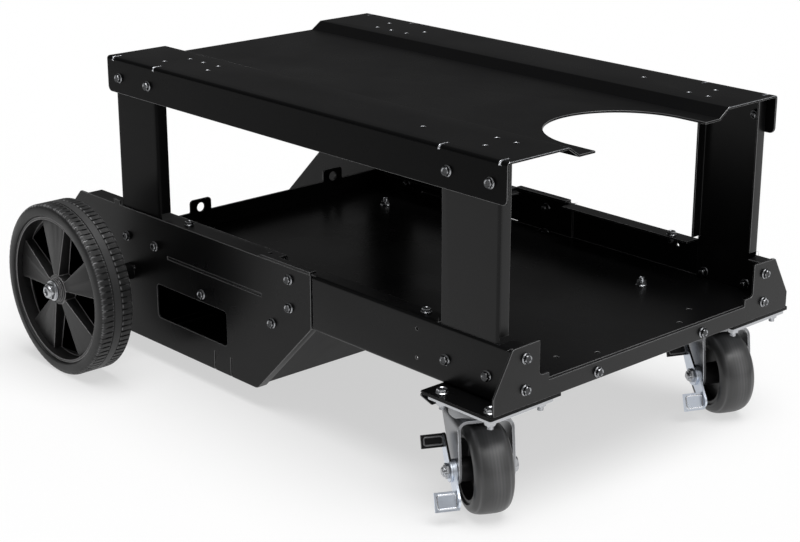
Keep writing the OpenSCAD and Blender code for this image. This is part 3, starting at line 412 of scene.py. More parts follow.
def wire(source, output, target, socket):
    """Joins one node's output to another node's input."""
    source.id_data.links.new(source.outputs[output], target.inputs[socket])


def grain_group():
    """Surface grain: fine noise as a height, and broad noise as a roughness that wanders between two
    values."""
    defaults = {"Fine Scale": 900, "Broad Scale": 9, "Low": 0.3, "High": 0.4}
    group, inp, out = new_group("surface grain", defaults, ["Height", "Roughness"])
    nodes = group.nodes
    place = nodes.new("ShaderNodeTexCoord")
    fine, broad = nodes.new("ShaderNodeTexNoise"), nodes.new("ShaderNodeTexNoise")
    fine.inputs["Detail"].default_value = 2
    broad.inputs["Detail"].default_value = 4
    spread = nodes.new("ShaderNodeMapRange")
    for texture, scale in ((fine, "Fine Scale"), (broad, "Broad Scale")):
        wire(place, "Object", texture, "Vector")
        wire(inp, scale, texture, "Scale")
    wire(broad, "Fac", spread, "Value")
    # Most of the noise lies between these two values
    spread.inputs["From Min"].default_value = 0.3
    spread.inputs["From Max"].default_value = 0.7
    wire(inp, "Low", spread, "To Min")
    wire(inp, "High", spread, "To Max")
    wire(fine, "Fac", out, "Height")
    wire(spread, "Result", out, "Roughness")


def dust_group():
    """Dust and tone: a mask of faint mottling, from 0 to 1, that lightens or darkens a colour a little."""
    group, inp, out = new_group("dust and tone", {"Scale": 14, "Amount": 0.2}, ["Mask"])
    nodes = group.nodes
    place = nodes.new("ShaderNodeTexCoord")
    noise = nodes.new("ShaderNodeTexNoise")
    noise.inputs["Detail"].default_value = 6
    scaled = nodes.new("ShaderNodeMath")
    scaled.operation = "MULTIPLY"
    wire(place, "Object", noise, "Vector")
    wire(inp, "Scale", noise, "Scale")
    wire(noise, "Fac", scaled, 0)
    wire(inp, "Amount", scaled, 1)
    wire(scaled, "Value", out, "Mask")


def finish_material(name, colour, light, grain, dust, bump, metallic=0.0, specular=0.5, sheen_colour=None,
                    bump_depth=0.2 * MM):
    """A finish: Principled shader whose colour varies by the dust mask and whose roughness and bump come from
    the grain group. grain is (fine scale, broad scale, lowest and highest roughness); dust is (scale,
    amount). sheen_colour is a painted highlight: the colour where u of a piece's own painted sheen map is 1."""
    material = bpy.data.materials.new(name)
    material.use_nodes = True
    nodes = material.node_tree.nodes
    shader = nodes["Principled BSDF"]
    shader.inputs["Metallic"].default_value = metallic
    shader.inputs["Specular IOR Level"].default_value = specular
    grains, dusts, mix, height = (nodes.new(kind) for kind in
                                  ("ShaderNodeGroup", "ShaderNodeGroup", "ShaderNodeMix", "ShaderNodeBump"))
    grains.node_tree = bpy.data.node_groups["surface grain"]
    dusts.node_tree = bpy.data.node_groups["dust and tone"]
    for group, values in ((grains, grain), (dusts, dust)):
        for socket, value in zip(group.inputs, values):
            socket.default_value = value
    mix.data_type = "RGBA"
    mix.inputs["A"].default_value = (*colour, 1)
    mix.inputs["B"].default_value = (*light, 1)
    height.inputs["Strength"].default_value = bump
    height.inputs["Distance"].default_value = bump_depth
    wire(dusts, "Mask", mix, "Factor")
    tone = mix
    # Painted sheen: a lighter colour mixed in where a piece's own map says
    if sheen_colour:
        tone, rub, parts = (nodes.new(kind) for kind in
                            ("ShaderNodeMix", "ShaderNodeUVMap", "ShaderNodeSeparateXYZ"))
        rub.uv_map = "rub"
        tone.data_type = "RGBA"
        tone.inputs["B"].default_value = (*sheen_colour, 1)
        wire(mix, "Result", tone, "A")
        wire(rub, "UV", parts, "Vector")
        wire(parts, "X", tone, "Factor")
    wire(tone, "Result", shader, "Base Color")
    wire(grains, "Roughness", shader, "Roughness")
    wire(grains, "Height", height, "Height")
    wire(height, "Normal", shader, "Normal")


def lighter(colour, factor):
    """A colour some times as light, up to white."""
    return tuple(min(1.0, channel * factor) for channel in colour)


def finishes(*names):
    """The finishes of these names."""
    return [bpy.data.materials[name] for name in names]


def coat_finishes(c):
    """Copies of one black powder coat that differ in how much they shine where they face the lamps, set part
    by part as painted reflection, and a much lighter, shinier coat on the rounded sheet edges as a painted
    highlight."""
    coat_grain, coat_dust = (1100, 7, 0.24, 0.33), (12, 0.5)
    # Painted reflection: each part's shine is chosen to make it lighter or darker, brightest at the front
    for name, specular in (("shelf_coat", 0.045), ("rear_coat", 0.05), ("powder_coat", 0.1),
                           ("wall_coat", 0.14), ("upright_coat", 0.2), ("front_coat", 0.31)):
        finish_material(name, c.coat, lighter(c.coat, 1.6), coat_grain, coat_dust, 0.08, specular=specular)
    # Painted shade: the belly's coat barely shines, so that it keeps dark under the cart
    finish_material("belly_coat", lighter(c.coat, 3), lighter(c.coat, 5), coat_grain, coat_dust, 0.08,
                    specular=0.01)
    # Painted highlight along the rounded sheet edges: a lighter, shinier coat
    finish_material("coat_edge", c.coat_edge, lighter(c.coat_edge, 1.8), (1100, 20, 0.20, 0.30), (30, 0.5),
                    0.05, specular=1.0)


def zinc_finishes(c):
    """Zinc plate, each finish with its own two tones, given as times the plate's colour."""
    zinc_grain = (420, 26, 0.24, 0.38)
    for name, tone, light, grain, dust, bump in (
            ("zinc_plate", 1, 0.8, zinc_grain, (40, 0.7), 0.10),
            ("zinc_fork", 0.45, 0.7, (420, 14, 0.28, 0.40), (22, 0.8), 0.10),
            # Painted highlight: the edge finish, much lighter zinc for rounded edges, chamfers and glints
            ("zinc_edge", 1.6, 1.3, (500, 40, 0.20, 0.30), (40, 0.5), 0.05),
            ("zinc_dark", 0.05, 0.2, (500, 40, 0.24, 0.42), (240, 0.9), 0.08),
            # Painted highlight: the rim finish lights the chamfers of the nearly black frame bolts
            ("zinc_rim", 0.9, 0.4, (500, 40, 0.22, 0.34), (260, 0.9), 0.08)):
        finish_material(name, lighter(c.zinc, tone), lighter(c.zinc, light), grain, dust, bump, metallic=1.0)
    finish_material("blue_zinc", c.blue_zinc, lighter(c.blue_zinc, 1.3), zinc_grain, (40, 0.6), 0.10,
                    metallic=1.0)


def rubber_finishes(c):
    """Rubber of the rear tyres and of the caster wheels, both with a painted sheen in places."""
    finish_material("tread_rubber", c.rubber, lighter(c.rubber, 2.2), (700, 18, 0.40, 0.55), (24, 0.6), 0.18,
                    specular=0.42, sheen_colour=lighter(c.rubber, 42))
    finish_material("roller_rubber", lighter(c.rubber, 3.2), lighter(c.rubber, 6.5), (650, 16, 0.28, 0.42),
                    (60, 0.9), 0.2, specular=0.6, sheen_colour=lighter(c.rubber, 26))


def moulded_finishes(c):
    """Moulded plastic, and a much lighter, shinier finish for its rounded edges as a painted highlight."""
    finish_material("moulded_plastic", c.moulded, lighter(c.moulded, 1.8), (1300, 20, 0.34, 0.44), (20, 0.5),
                    0.14, specular=0.45)
    # Painted highlight on the rounded edges of the moulded parts
    finish_material("moulded_edge", lighter(c.moulded, 13), lighter(c.moulded, 18), (900, 30, 0.22, 0.32),
                    (60, 0.6), 0.1, specular=1.0)


class CART_OT_materials(bpy.types.Operator):
    """Make the cart's finishes"""
    bl_idname = "cart.materials"
    bl_label = "Finishes"

    def execute(self, context):
        colours = context.scene.cart_colours
        grain_group()
        dust_group()
        coat_finishes(colours)
        zinc_finishes(colours)
        rubber_finishes(colours)
        moulded_finishes(colours)
        return {"FINISHED"}


# Sheets

class CART_OT_sheets(bpy.types.Operator):
    """Round the edges of the coated sheets and give them their finish"""
    bl_idname = "cart.sheets"
    bl_label = "Coated Sheets"

    def execute(self, context):
        s = context.scene.cart_sizes
        for node, coat in SHEETS.items():
            # Only the caster brackets have corners that need the rounding held back
            edged_copy(node, finishes(coat, "coat_edge"), s.sheet_edge,
                       clamp=node.startswith("caster_bracket"))
        for name in SIDES:
            make_piece(f"caster_bracket_{name}_tab", bracket_tab(name), "frame",
                       finishes("powder_coat", "coat_edge"), edge=s.sheet_edge)
            upright = edged_copy(f"upright_front_{name}",
                                 finishes("upright_coat", "front_coat", "coat_edge"), s.sheet_edge,
                                 clamp=False)
            # Painted sheen: the face towards the front takes the shinier front coat, so that it shines more
            finish_faces(upright, lambda middles, normals: normals[:, 0] > 0.9)
        shelf = edged_copy("top_shelf", finishes("shelf_coat", "zinc_edge", "coat_edge"),
                           s.sheet_edge, cuts=shelf_slits(s), clamp=False)
        bake_bevel(shelf)
        # Painted glints: slit walls, hole rims and the front edge take bright zinc
        finish_faces(shelf, lambda middles, normals: painted_glints(middles, normals, s))
        return {"FINISHED"}


def bracket_tab(name, width=32 * MM, chamfer=18 * MM, drop=20 * MM, lip=3 * MM, thick=2.5 * MM,
                sunk=0.2 * MM):
    """Tab turned down from a caster bracket's rear edge, its outer corner cut off at a slant: three stations
    along Y, each a rectangle, joined. Its top is sunk a little into the bracket."""
    low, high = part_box(f"caster_bracket_{name}")
    side, top = SIDES[name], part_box(f"caster_plate_{name}")[1].z + sunk
    outer = high.y if side > 0 else low.y
    rows = [[(low.x, y, top), (low.x + thick, y, top), (low.x + thick, y, top - fall), (low.x, y, top - fall)]
            for y, fall in ((outer, lip), (outer - side * chamfer, drop), (outer - side * width, drop))]
    faces = np.concatenate([grid_faces(3, 4, False, True), [(3, 2, 1, 0), (8, 9, 10, 11)]])
    return np.array(rows).reshape(-1, 3), faces


def slit_places():
    """X of the relief slits in the shelf's bends: at both ends of each upright."""
    return np.array([corner.x for node in ("upright_rear_right", "upright_front_right")
                     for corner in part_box(node)])


def shelf_slits(s, depth=5 * MM, over=MM):
    """Relief slits across both long bends of the shelf, as boxes to cut out, from a depth below its top to a
    little over it and past its sides."""
    low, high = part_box("top_shelf")
    half = s.slit_width / 2
    sides = ((low.y - over, low.y + s.slit_reach), (high.y - s.slit_reach, high.y + over))
    return [box_part((x - half, start, high.z - depth), (x + half, end, high.z + over))
            for start, end in sides for x in slit_places()]


def painted_glints(middles, normals, s, strip=(165 * MM, 235 * MM), ends=(15 * MM, 12 * MM), bend=6 * MM,
               front=1.5 * MM, level=0.97):
    """Which of the shelf's faces take bright zinc as painted glints: a slit's walls and edges, the rims of
    the small holes, which are the faces that aren't level in both strips away from their ends, and the upper
    front edge."""
    low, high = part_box("top_shelf")
    x, y, z = middles.T
    near = np.abs(middles[:, :1] - slit_places()[None, :]).min(1) < s.slit_width / 2 + MM
    slits = near & (np.minimum(y - low.y, high.y - y) < s.slit_reach + MM) & (z > high.z - bend)
    rims = (z > high.z - MM) & (np.abs(normals[:, 2]) < level)
    between = (x > low.x + ends[0]) & (x < high.x - ends[1])
    in_strips = (np.abs(y) > strip[0]) & (np.abs(y) < strip[1]) & between
    front_edge = (x > high.x - front) & (normals[:, 2] > 0.2)
    return slits | rims & (in_strips | front_edge)


# Fasteners

def hexagon(a, across_flats):
    """A hexagon's radius at angle a: half its width over the cosine of the angle from the nearest flat's
    middle."""
    return across_flats / 2 / np.cos((a + SIXTH / 2) % SIXTH - SIXTH / 2)


def corner_radius(across_flats):
    """Radius of a hexagon's corners."""
    return across_flats / 2 / math.cos(SIXTH / 2)


def hex_stack(profile, across_flats, steps=48):
    """Surface of revolution cut to a hexagon: at angle a the radius is the profile's or, where the profile is
    marked as hexagonal, the smaller of it and the hexagon's radius there. profile is (radius, height,
    hexagonal)."""
    radius, height, hexagonal = np.asarray(profile, float).T
    a = around(steps)
    r = np.where(hexagonal > 0, np.minimum(radius, hexagon(a, across_flats)[:, None]), radius)
    return round_z(r, a, height), grid_faces(steps, len(radius), True)


def bolt_head(across_flats, flange_width, top):
    """Flanged hexagon head: a thin flange, a cone up to the hexagon, flats, a chamfer and a cupped end."""
    corner, flange, cup = corner_radius(across_flats), flange_width / 2, top - 0.9 * MM
    return hex_stack([
        (0, 0, 0), (flange - 0.2 * MM, 0, 0), (flange, 0.3 * MM, 0), (flange, 0.7 * MM, 0),
        (flange - 0.6 * MM, 1.1 * MM, 0), (corner + 0.1 * MM, 1.5 * MM, 0), (corner, 1.8 * MM, 1),
        (corner, top - 1.1 * MM, 1), (corner - 1.2 * MM, top, 1), (corner - 2.0 * MM, top, 0),
        (corner - 3.0 * MM, cup, 0), (0, cup, 0)], across_flats)


def nut_body(across_flats, flange_width, top, bolt_radius=4 * MM):
    """Flanged nut with its seat at height 0 and a chamfered bore."""
    corner, flange = corner_radius(across_flats), flange_width / 2
    return hex_stack([
        (bolt_radius, 0, 0), (flange - 0.2 * MM, 0, 0), (flange, 0.3 * MM, 0), (flange, 0.8 * MM, 0),
        (flange - 0.4 * MM, 1.1 * MM, 0), (corner + 0.2 * MM, 1.7 * MM, 0), (corner, 2 * MM, 1),
        (corner, top - 0.9 * MM, 1), (corner - 0.8 * MM, top, 1),
        (bolt_radius + 0.4 * MM, top, 0), (bolt_radius, top - 0.6 * MM, 0)], across_flats)


def shank(length, radius=4 * MM, pitch=1.25 * MM, depth=0.35 * MM, chamfer=1.1 * MM, steps=20):
    """Threaded shank below height 0: the radius swings by the thread's depth once a pitch, with four rings a
    pitch, and the end is chamfered."""
    h = np.linspace(0, -length, max(4, int(length / pitch) * 4))
    r = radius - depth * (0.5 - 0.5 * np.cos(TAU * h / pitch))
    r[-1] = radius - chamfer
    return lathe(np.concatenate([np.stack([r, h], 1), [[0, -length]]]), steps)


def outward_of(kind, box):
    """The way a group's bolts point: away from the middle plane, forwards or up."""
    if kind == "side":
        return (0, 1 if box[0][1] > 0 else -1, 0)
    return (1, 0, 0) if kind == "front" else (0, 0, 1)


def fastener_parts(node, kind, s, seed, most=64):
    """One made fastener for each solid of a CAD group, up to the most, on the same seat and turned by a
    seeded angle."""
    turns = np.random.default_rng(seed).uniform(0, SIXTH, most)
    wide = node.startswith("caster")
    size = (s.wide_flats, s.wide_flange) if wide else (s.across_flats, s.flange_width)
    parts = []
    for angle, box in zip(turns, islands(node)):
        out = np.array(outward_of(kind, box), float)
        reach = abs(np.dot(box[1] - box[0], out)) / 2
        end = (box[0] + box[1]) / 2 + out * reach
        # A hexagon's corner points along a direction that is skew to every bolt's axis
        if node.endswith("nuts"):
            turn = basis(-out, (math.cos(angle), 0.5, math.sin(angle)))
            parts.append(moved(nut_body(*size, s.nut_height), end, turn))
            continue
        turn = basis(out, (math.cos(angle), math.sin(angle) * 0.9, 0.43))
        seat = end - out * s.head_height
        parts.append(moved(shank(2 * reach - s.head_height + (s.bolt_end if wide else 0)), seat, turn))
        if node.startswith("floor"):
            # The tray's fixings show a nut and the end of its stud
            parts.append(moved(nut_body(s.wide_flats, s.wide_flange, s.nut_height), seat, turn))
            parts.append(moved(shank(s.stud_height), seat + out * s.stud_height, turn))
        else:
            parts.append(moved(bolt_head(*size, s.head_height), seat, turn))
    return parts


class CART_OT_fasteners(bpy.types.Operator):
    """Make the hexagon bolts and nuts"""
    bl_idname = "cart.fasteners"
    bl_label = "Bolts and Nuts"

    def execute(self, context):
        s = context.scene.cart_sizes
        lean, spread = 0.62, 0.33
        for seed, (group, kind) in enumerate(GROUPS.items()):
            looks = ("zinc_plate", "zinc_edge") if group in ("caster", "floor") else ("zinc_dark", "zinc_rim")
            axis = {"front": 0, "side": 1, "up": 2}[kind]
            for thing in ("bolts", "nuts"):
                node = f"{group}_{thing}"
                piece = make_piece(node + "_made", joined(fastener_parts(node, kind, s, seed)), "frame",
                                   finishes(*looks), (node,), smooth=40)
                # Painted highlight on chamfers and cones, whose normals lie between the axis and the radius
                finish_faces(piece, lambda middles, normals: np.abs(np.abs(normals[:, axis]) - lean) < spread)
        return {"FINISHED"}


# Rear wheels

def tyre_part(width, radius, seat, s, groove=0.17, slope=0.06, rib=7 * MM, channel_at=6.5 * MM,
              channel_half=0.9 * MM, bead=0.35 * MM):
    """Tyre round Z: a side profile whose tread is lowered by cross grooves, which are pulses in the angle,
    faded out towards the middle rib and the shoulders, and by a channel on each side of the rib, with fine
    beads on both shoulder edges. groove and slope are a pulse's half-width and edge, as shares of the
    grooves' pitch."""
    steps = 12 * s.groove_count
    half = width / 2
    side = [(seat, half - 2 * MM), (seat + 1 * MM, half - 0.6 * MM), (seat + 3 * MM, half),
            (seat + 7 * MM, half - 0.1 * MM), (radius - 8 * MM, half - 0.4 * MM),
            (radius - 5.2 * MM, half - 1.2 * MM), (radius - 3.2 * MM, half - 2.2 * MM),
            (radius - 1.6 * MM, half - 3.2 * MM), (radius - 0.5 * MM, half - 4.4 * MM)]
    across = [half - 5.6 * MM, half - 4.2 * MM - 2.4 * MM, 15 * MM, 12 * MM, 9.5 * MM, 7.6 * MM, 6.8 * MM,
              6.2 * MM, 5.6 * MM, 5.2 * MM, 3 * MM, 0]
    outer = np.array(side + [(radius, w) for w in across])
    profile = np.concatenate([outer, (outer * (1, -1))[-2::-1]])
    r, h = profile.T
    a = around(steps)
    # The grooves of one half stand half a pitch on from those of the other
    phase = (a * s.groove_count / TAU)[:, None] + np.where(h > 0, 0, 0.5)
    pulse = smooth_step((groove - np.abs(phase % 1 - 0.5)) / slope)
    tread = smooth_step((r - (radius - 4 * MM)) / (3 * MM))
    band = smooth_step((np.abs(h) - rib + 0.8 * MM) / (0.8 * MM)) * tread
    channel = smooth_step(1 - np.abs(np.abs(h) - channel_at) / channel_half) * tread
    beads = bell(r, radius - 3.2 * MM, 1.1 * MM) * (np.cos(a * s.groove_count * 2)[:, None] - 1)
    lowered = r - s.groove_depth * np.maximum(pulse * band, 0.8 * channel) + bead * beads
    return round_z(lowered, a, h), grid_faces(steps, len(profile), True, True)


def tyre_sheen(places, radius, groove_count):
    """How much painted sheen, a painted highlight, a tyre takes at places from its middle: bell curves over
    the radius and the width pick out the shoulder and the channel's edges, and waves round the tyre, one of
    them at the grooves' pitch, break them up."""
    r, w = np.hypot(places[:, 0], places[:, 2]), np.abs(places[:, 1])
    a = np.arctan2(places[:, 2], places[:, 0])
    outside = r > radius - 0.6 * MM
    blocks = 0.5 + 0.5 * np.cos(a * groove_count)
    drift = 0.6 + 0.25 * np.sin(a * 23 + 1.3) + 0.15 * np.sin(a * 61)
    shoulder = bell(r, radius - 1.8 * MM, 1.0 * MM) * (w > 17 * MM) * (0.25 + 0.75 * blocks)
    channel = bell(w, 7.4 * MM, 0.8 * MM) * outside * blocks * 0.7
    rib = 0.05 * (w < 5.6 * MM) * outside
    return (shoulder + channel) * drift + rib


def axle_nut_part(across_flats, height, axle_radius=8 * MM + FIT_GAP):
    """Lock nut: a flanged hexagon, then a domed collar that closes in over the axle's end. Heights are shares
    of the nut's."""
    corner, half, bore = corner_radius(across_flats), across_flats / 2, axle_radius - 3 * MM
    return hex_stack([
        (axle_radius, 0, 0), (corner + 1 * MM, 0, 0), (corner + 1 * MM, 1 * MM, 0), (corner, 1.8 * MM, 1),
        (corner, height * 0.45, 1), (corner - 1.4 * MM, height * 0.55, 1),
        (half - 0.6 * MM, height * 0.57, 0), (half - 1.0 * MM, height * 0.72, 0),
        (half - 2.2 * MM, height * 0.86, 0), (half - 4 * MM, height * 0.92, 0),
        (axle_radius - 2.4 * MM, height * 0.93, 0), (bore, height * 0.85, 0),
        (bore, height * 0.6, 0), (axle_radius, height * 0.5, 0)], across_flats, 60)


def rear_tyre(name, side, s):
    """One rear tyre, on its rim's seat."""
    low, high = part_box(f"tyre_{name}")
    centre, radius = (low + high) / 2, (high.z - low.z) / 2
    rim_low, rim_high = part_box(f"rim_{name}")
    part = tyre_part(high.y - low.y, radius, (rim_high.z - rim_low.z) / 2 + FIT_GAP, s)
    tyre = make_piece(f"tyre_{name}_made", moved(part, centre, basis((0, side, 0))), f"rear_wheel_{name}",
                      finishes("tread_rubber"), (f"tyre_{name}",), smooth=50)
    # Painted highlight along the tyre's shoulders and channels
    paint_sheen(tyre, lambda points: tyre_sheen(points - np.array(centre), radius, s.groove_count))


def axle_nut_parts():
    """Both axle nuts, each as wide and as high as the CAD one."""
    parts = []
    for low, high in islands("axle_nuts"):
        out = (0, 1 if low[1] > 0 else -1, 0)
        seat = (low + high) / 2 - np.array(out) * (high[1] - low[1]) / 2
        across = min(high[0] - low[0], high[2] - low[2])
        parts.append(moved(axle_nut_part(across, high[1] - low[1]), seat, basis(out)))
    return parts


def axle_part(inset=6 * MM, chamfer=MM, steps=48):
    """Rear axle: a rod with chamfered ends, which end inside the nuts, so that these show a dark bore."""
    low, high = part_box("axle")
    radius, half = (high.z - low.z) / 2, (high.y - low.y) / 2 - inset
    rod = [(0, -half), (radius - chamfer, -half), (radius, -half + chamfer), (radius, half - chamfer),
           (radius - chamfer, half), (0, half)]
    return moved(lathe(rod, steps), (low + high) / 2, basis((0, 1, 0)))


class CART_OT_rear_wheels(bpy.types.Operator):
    """Make the rear wheels and the axle's ends"""
    bl_idname = "cart.rear_wheels"
    bl_label = "Rear Wheels"

    def execute(self, context):
        s = context.scene.cart_sizes
        zinc = finishes("zinc_plate")
        for name, side in SIDES.items():
            rear_tyre(name, side, s)
            edged_copy(f"rim_{name}", finishes("moulded_plastic", "moulded_edge"),
                       s.moulded_edge, clamp=False)
            edged_copy(f"wheel_bushes_{name}", zinc, s.metal_edge)
        make_piece("axle_nuts_made", joined(axle_nut_parts()), "frame", zinc, ("axle_nuts",),
                   smooth=40)
        edged_copy("axle_washers", zinc, s.metal_edge)
        make_piece("axle_made", axle_part(), "frame", finishes("zinc_fork"), ("axle",))
        return {"FINISHED"}


# Casters

def crown_profile(half, radius, seat, depth=17 * MM, power=3.2, count=97):
    """Half-width and radius of a rounded tread: a superellipse from side to side whose power sets its
    flatness. The points lie closer towards the sides."""
    t = np.linspace(-1, 1, count)
    w = half * np.sign(t) * np.abs(np.sin(t * math.pi / 2)) ** 0.75
    lift = (1 - np.clip(np.abs(w) / half, 0, 1) ** power) ** (1 / power)
    r = np.maximum(radius - depth * (1 - lift), seat + 1 * MM)
    ends = [(seat, half - 1.5 * MM), (seat, -half + 1.5 * MM)]
    return np.concatenate([np.stack([r, w], 1), ends])


def castle_nut_part(across_flats, height, bore, steps=72):
    """Castle nut: a hexagon, then a crown whose radius dips in six slots. Heights are shares of the nut's."""
    a = around(steps)
    flat, corner, half = hexagon(a, across_flats), corner_radius(across_flats), across_flats / 2
    slot = smooth_step((np.abs((a / SIXTH) % 1 - 0.5) - 0.12) / 0.06)
    crown = bore + (half - 1.3 * MM - bore) * (0.25 + 0.75 * slot)
    inside, collar = np.full(steps, bore), np.full(steps, half - 1.2 * MM)
    rows = [(inside, 0), (np.minimum(flat, corner - 0.5 * MM), 0), (flat, 0.5 * MM), (flat, height * 0.52),
            (np.minimum(flat, corner - 0.8 * MM), height * 0.6), (collar, height * 0.62),
            (crown, height * 0.66), (crown, height - 0.4 * MM), (crown - 0.3 * MM, height), (inside, height)]
    radii, heights = zip(*rows)
    return round_z(np.stack(radii, 1), a, np.array(heights)), grid_faces(steps, len(rows), True, True)


def caster_axes(name):
    """Wheel centre, rolling direction and axle direction of a caster, from its roll joint."""
    joint = JOINTS[f"caster_{name}_roll"]
    axle = np.array(joint["axis"], float)
    return np.array(joint["pos_m"], float), np.cross(axle, (0, 0, 1.0)), axle


def tread_sheen(places, axle, rolling, half):
    """How much painted sheen, a painted highlight, a caster's tread takes at places from its middle: a bell
    curve over each shoulder and a lighter, broad band between, both changed by slow waves round the wheel and
    fine streaks along it."""
    w = places @ axle / half
    a = np.arctan2(places[:, 2], places @ rolling)
    slow = 0.6 + 0.4 * np.sin(2 * a + 4 * w + 0.6)
    streak = 0.75 + 0.25 * np.sin(38 * w + 2 * np.sin(3 * a))
    return (0.8 * bell(np.abs(w), 0.72, 0.08) + 0.3 * bell(w, 0.1, 0.4)) * slow * streak


def fork_edges(z, z_axle, trail, foot, low, crown, neck, rise=2 * MM):
    """How far a fork's sheet reaches back and forward at each height z: a circle round the axle, then behind
    it the circle's tangent to the crown's rear end, and in front a quadratic curve through the neck."""
    circle = np.sqrt(np.maximum(foot ** 2 - (z - z_axle) ** 2, 0))
    away = np.array((crown[0] - trail, low - z_axle))
    spread = math.acos(foot / np.linalg.norm(away))
    turn = np.array([[math.cos(spread), -math.sin(spread)], [math.sin(spread), math.cos(spread)]])
    touch = turn @ away * foot / np.linalg.norm(away)
    back = np.where(z - z_axle < touch[1], trail - circle,
                    np.interp(z, (z_axle + touch[1], low), (trail + touch[0], crown[0])))
    k = np.linspace(0, 1, 24)[:, None]
    start, bend, stop = np.array((trail + foot, z_axle + rise)), np.array(neck), np.array((crown[1], low))
    curve = (1 - k) ** 2 * start + 2 * k * (1 - k) * bend + k ** 2 * stop
    front = np.where(z < z_axle + rise, trail + circle, np.interp(z, curve[:, 1], curve[:, 0]))
    return back, front


def mirrored(values, sign=1):
    """Values of one leg, from its foot to the crown, and then of the other leg down to its foot."""
    return np.concatenate([values, sign * values[::-1]])


def fork_parts(name, outer=36 * MM, thick=4 * MM, corner=13 * MM, crown=(-36 * MM, 36 * MM),
               crown_edge=7 * MM, neck=(42 * MM, 34 * MM), foot=17 * MM, race=(36 * MM, 34 * MM, 7 * MM),
               bore=6.1 * MM):
    """Caster fork: a U bent from sheet, its outer path a straight leg, an arc at the corner, the crown and
    the same again. Along it the sheet reaches from a back edge to a front edge, both functions of the height.
    A conical race, given by its lower and upper radius and its height, stands on the crown."""
    centre, rolling, axle = caster_axes(name)
    pivot = np.array(JOINTS[f"caster_{name}_swivel"]["pos_m"], float) * (1, 1, 0)
    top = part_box(f"caster_fork_{name}")[1].z - race[2]
    trail, z_axle = np.dot(centre - pivot, rolling), centre[2]
    # Heights along the foot's circle and the straight leg, then angles along the corner's arc
    leg = np.concatenate([z_axle - foot * np.cos(np.linspace(0.12, math.pi / 2, 12)),
                          np.linspace(z_axle, top - corner, 16)[1:]])
    t = np.linspace(0, math.pi / 2, 9)[1:]
    z = np.concatenate([leg, top - corner + corner * np.sin(t)])
    y = np.concatenate([np.full(len(leg), -outer), -outer + corner * (1 - np.cos(t))])
    inward_y = np.concatenate([np.ones(len(leg)), np.cos(t)])
    inward_z = np.concatenate([np.zeros(len(leg)), -np.sin(t)])
    back, front = (mirrored(edge) for edge in fork_edges(
        z, z_axle, trail, foot, top - crown_edge, crown, (neck[0], top - neck[1])))
    path = np.stack([mirrored(y, -1), mirrored(z)], 1)
    inner = path + np.stack([mirrored(inward_y, -1), mirrored(inward_z)], 1) * thick
    loops = np.stack([np.column_stack(pair) for pair in
                      ((back, path), (front, path), (front, inner), (back, inner))], 1)
    points = loops.reshape(-1, 3) @ np.stack([rolling, axle, (0, 0, 1.0)]) + pivot
    ends = np.array([(3, 2, 1, 0), np.arange(4) + 4 * (len(path) - 1)])
    cone = [(bore, top - thick), (bore, top + race[2]), (race[1], top + race[2]), (race[0], top - MM),
            (race[0], top - thick)]
    return [(points, np.concatenate([grid_faces(len(path), 4, False, True), ends])),
            moved(lathe(cone, 64, closed=True), pivot, np.eye(3))]


def caster_axle_parts(name, radius=5 * MM, across=17 * MM, head=6.5 * MM, end=2 * MM, chamfer=1.2 * MM):
    """Axle bolt with a hexagon head and, at the brake's end, a castle nut. The node's reach along the axle
    gives where they sit."""
    centre, _, axle = caster_axes(name)
    along = (places_of(frame["nodes"][f"caster_axle_{name}"].data) - centre) @ axle
    start, seat = along.min(), along.max() - head
    rod = [(0, start), (radius - MM, start), (radius, start + MM), (radius, seat), (0, seat)]
    corner = corner_radius(across)
    cap = [(0, 0, 0), (corner, 0, 1), (corner, head - chamfer, 1), (corner - 1.3 * MM, head, 1), (0, head, 0)]
    nut = castle_nut_part(across, head, radius + FIT_GAP)
    return [moved(lathe(rod, 32), centre, basis(axle)),
            moved(hex_stack(cap, across), centre + axle * seat, basis(axle)),
            moved(nut, centre + axle * (start + end + head), basis(-axle))]


def caster_tread(name, s):
    """One caster's tread, on its core's seat."""
    centre, rolling, axle = caster_axes(name)
    low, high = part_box(f"caster_tread_{name}")
    core_low, core_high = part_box(f"caster_core_{name}")
    half = s.caster_width / 2
    profile = crown_profile(half, (high.z - low.z) / 2, (core_high.z - core_low.z) / 2 + FIT_GAP)
    part = moved(lathe(profile, 128, closed=True), centre, basis(axle))
    tread = make_piece(f"caster_tread_{name}_made", part, f"caster_wheel_{name}",
                       finishes("roller_rubber"), (f"caster_tread_{name}",), smooth=50)
    # Painted highlight on the tread's shoulders and middle
    paint_sheen(tread, lambda points: tread_sheen(points - centre, axle, rolling, half))


class CART_OT_casters(bpy.types.Operator):
    """Make the swivel casters"""
    bl_idname = "cart.casters"
    bl_label = "Casters"

    def execute(self, context):
        s = context.scene.cart_sizes
        for name in SIDES:
            caster_tread(name, s)
            edged_copy(f"caster_core_{name}", finishes("moulded_plastic"), s.core_edge)
            for node in ("caster_plate", "kingpin", "caster_sleeve"):
                edged_copy(f"{node}_{name}", finishes("zinc_plate", "zinc_edge"), s.metal_edge)
            edged_copy(f"swivel_balls_{name}", finishes("zinc_plate"), 0)
            make_piece(f"caster_fork_{name}_made", joined(fork_parts(name)), f"caster_swivel_{name}",
                       finishes("zinc_fork", "zinc_edge"), (f"caster_fork_{name}",), smooth=32,
                       edge=s.fork_edge)
            make_piece(f"caster_axle_{name}_made", joined(caster_axle_parts(name)), f"caster_swivel_{name}",
                       finishes("zinc_plate"), (f"caster_axle_{name}",), smooth=40)
        return {"FINISHED"}


# Brakes

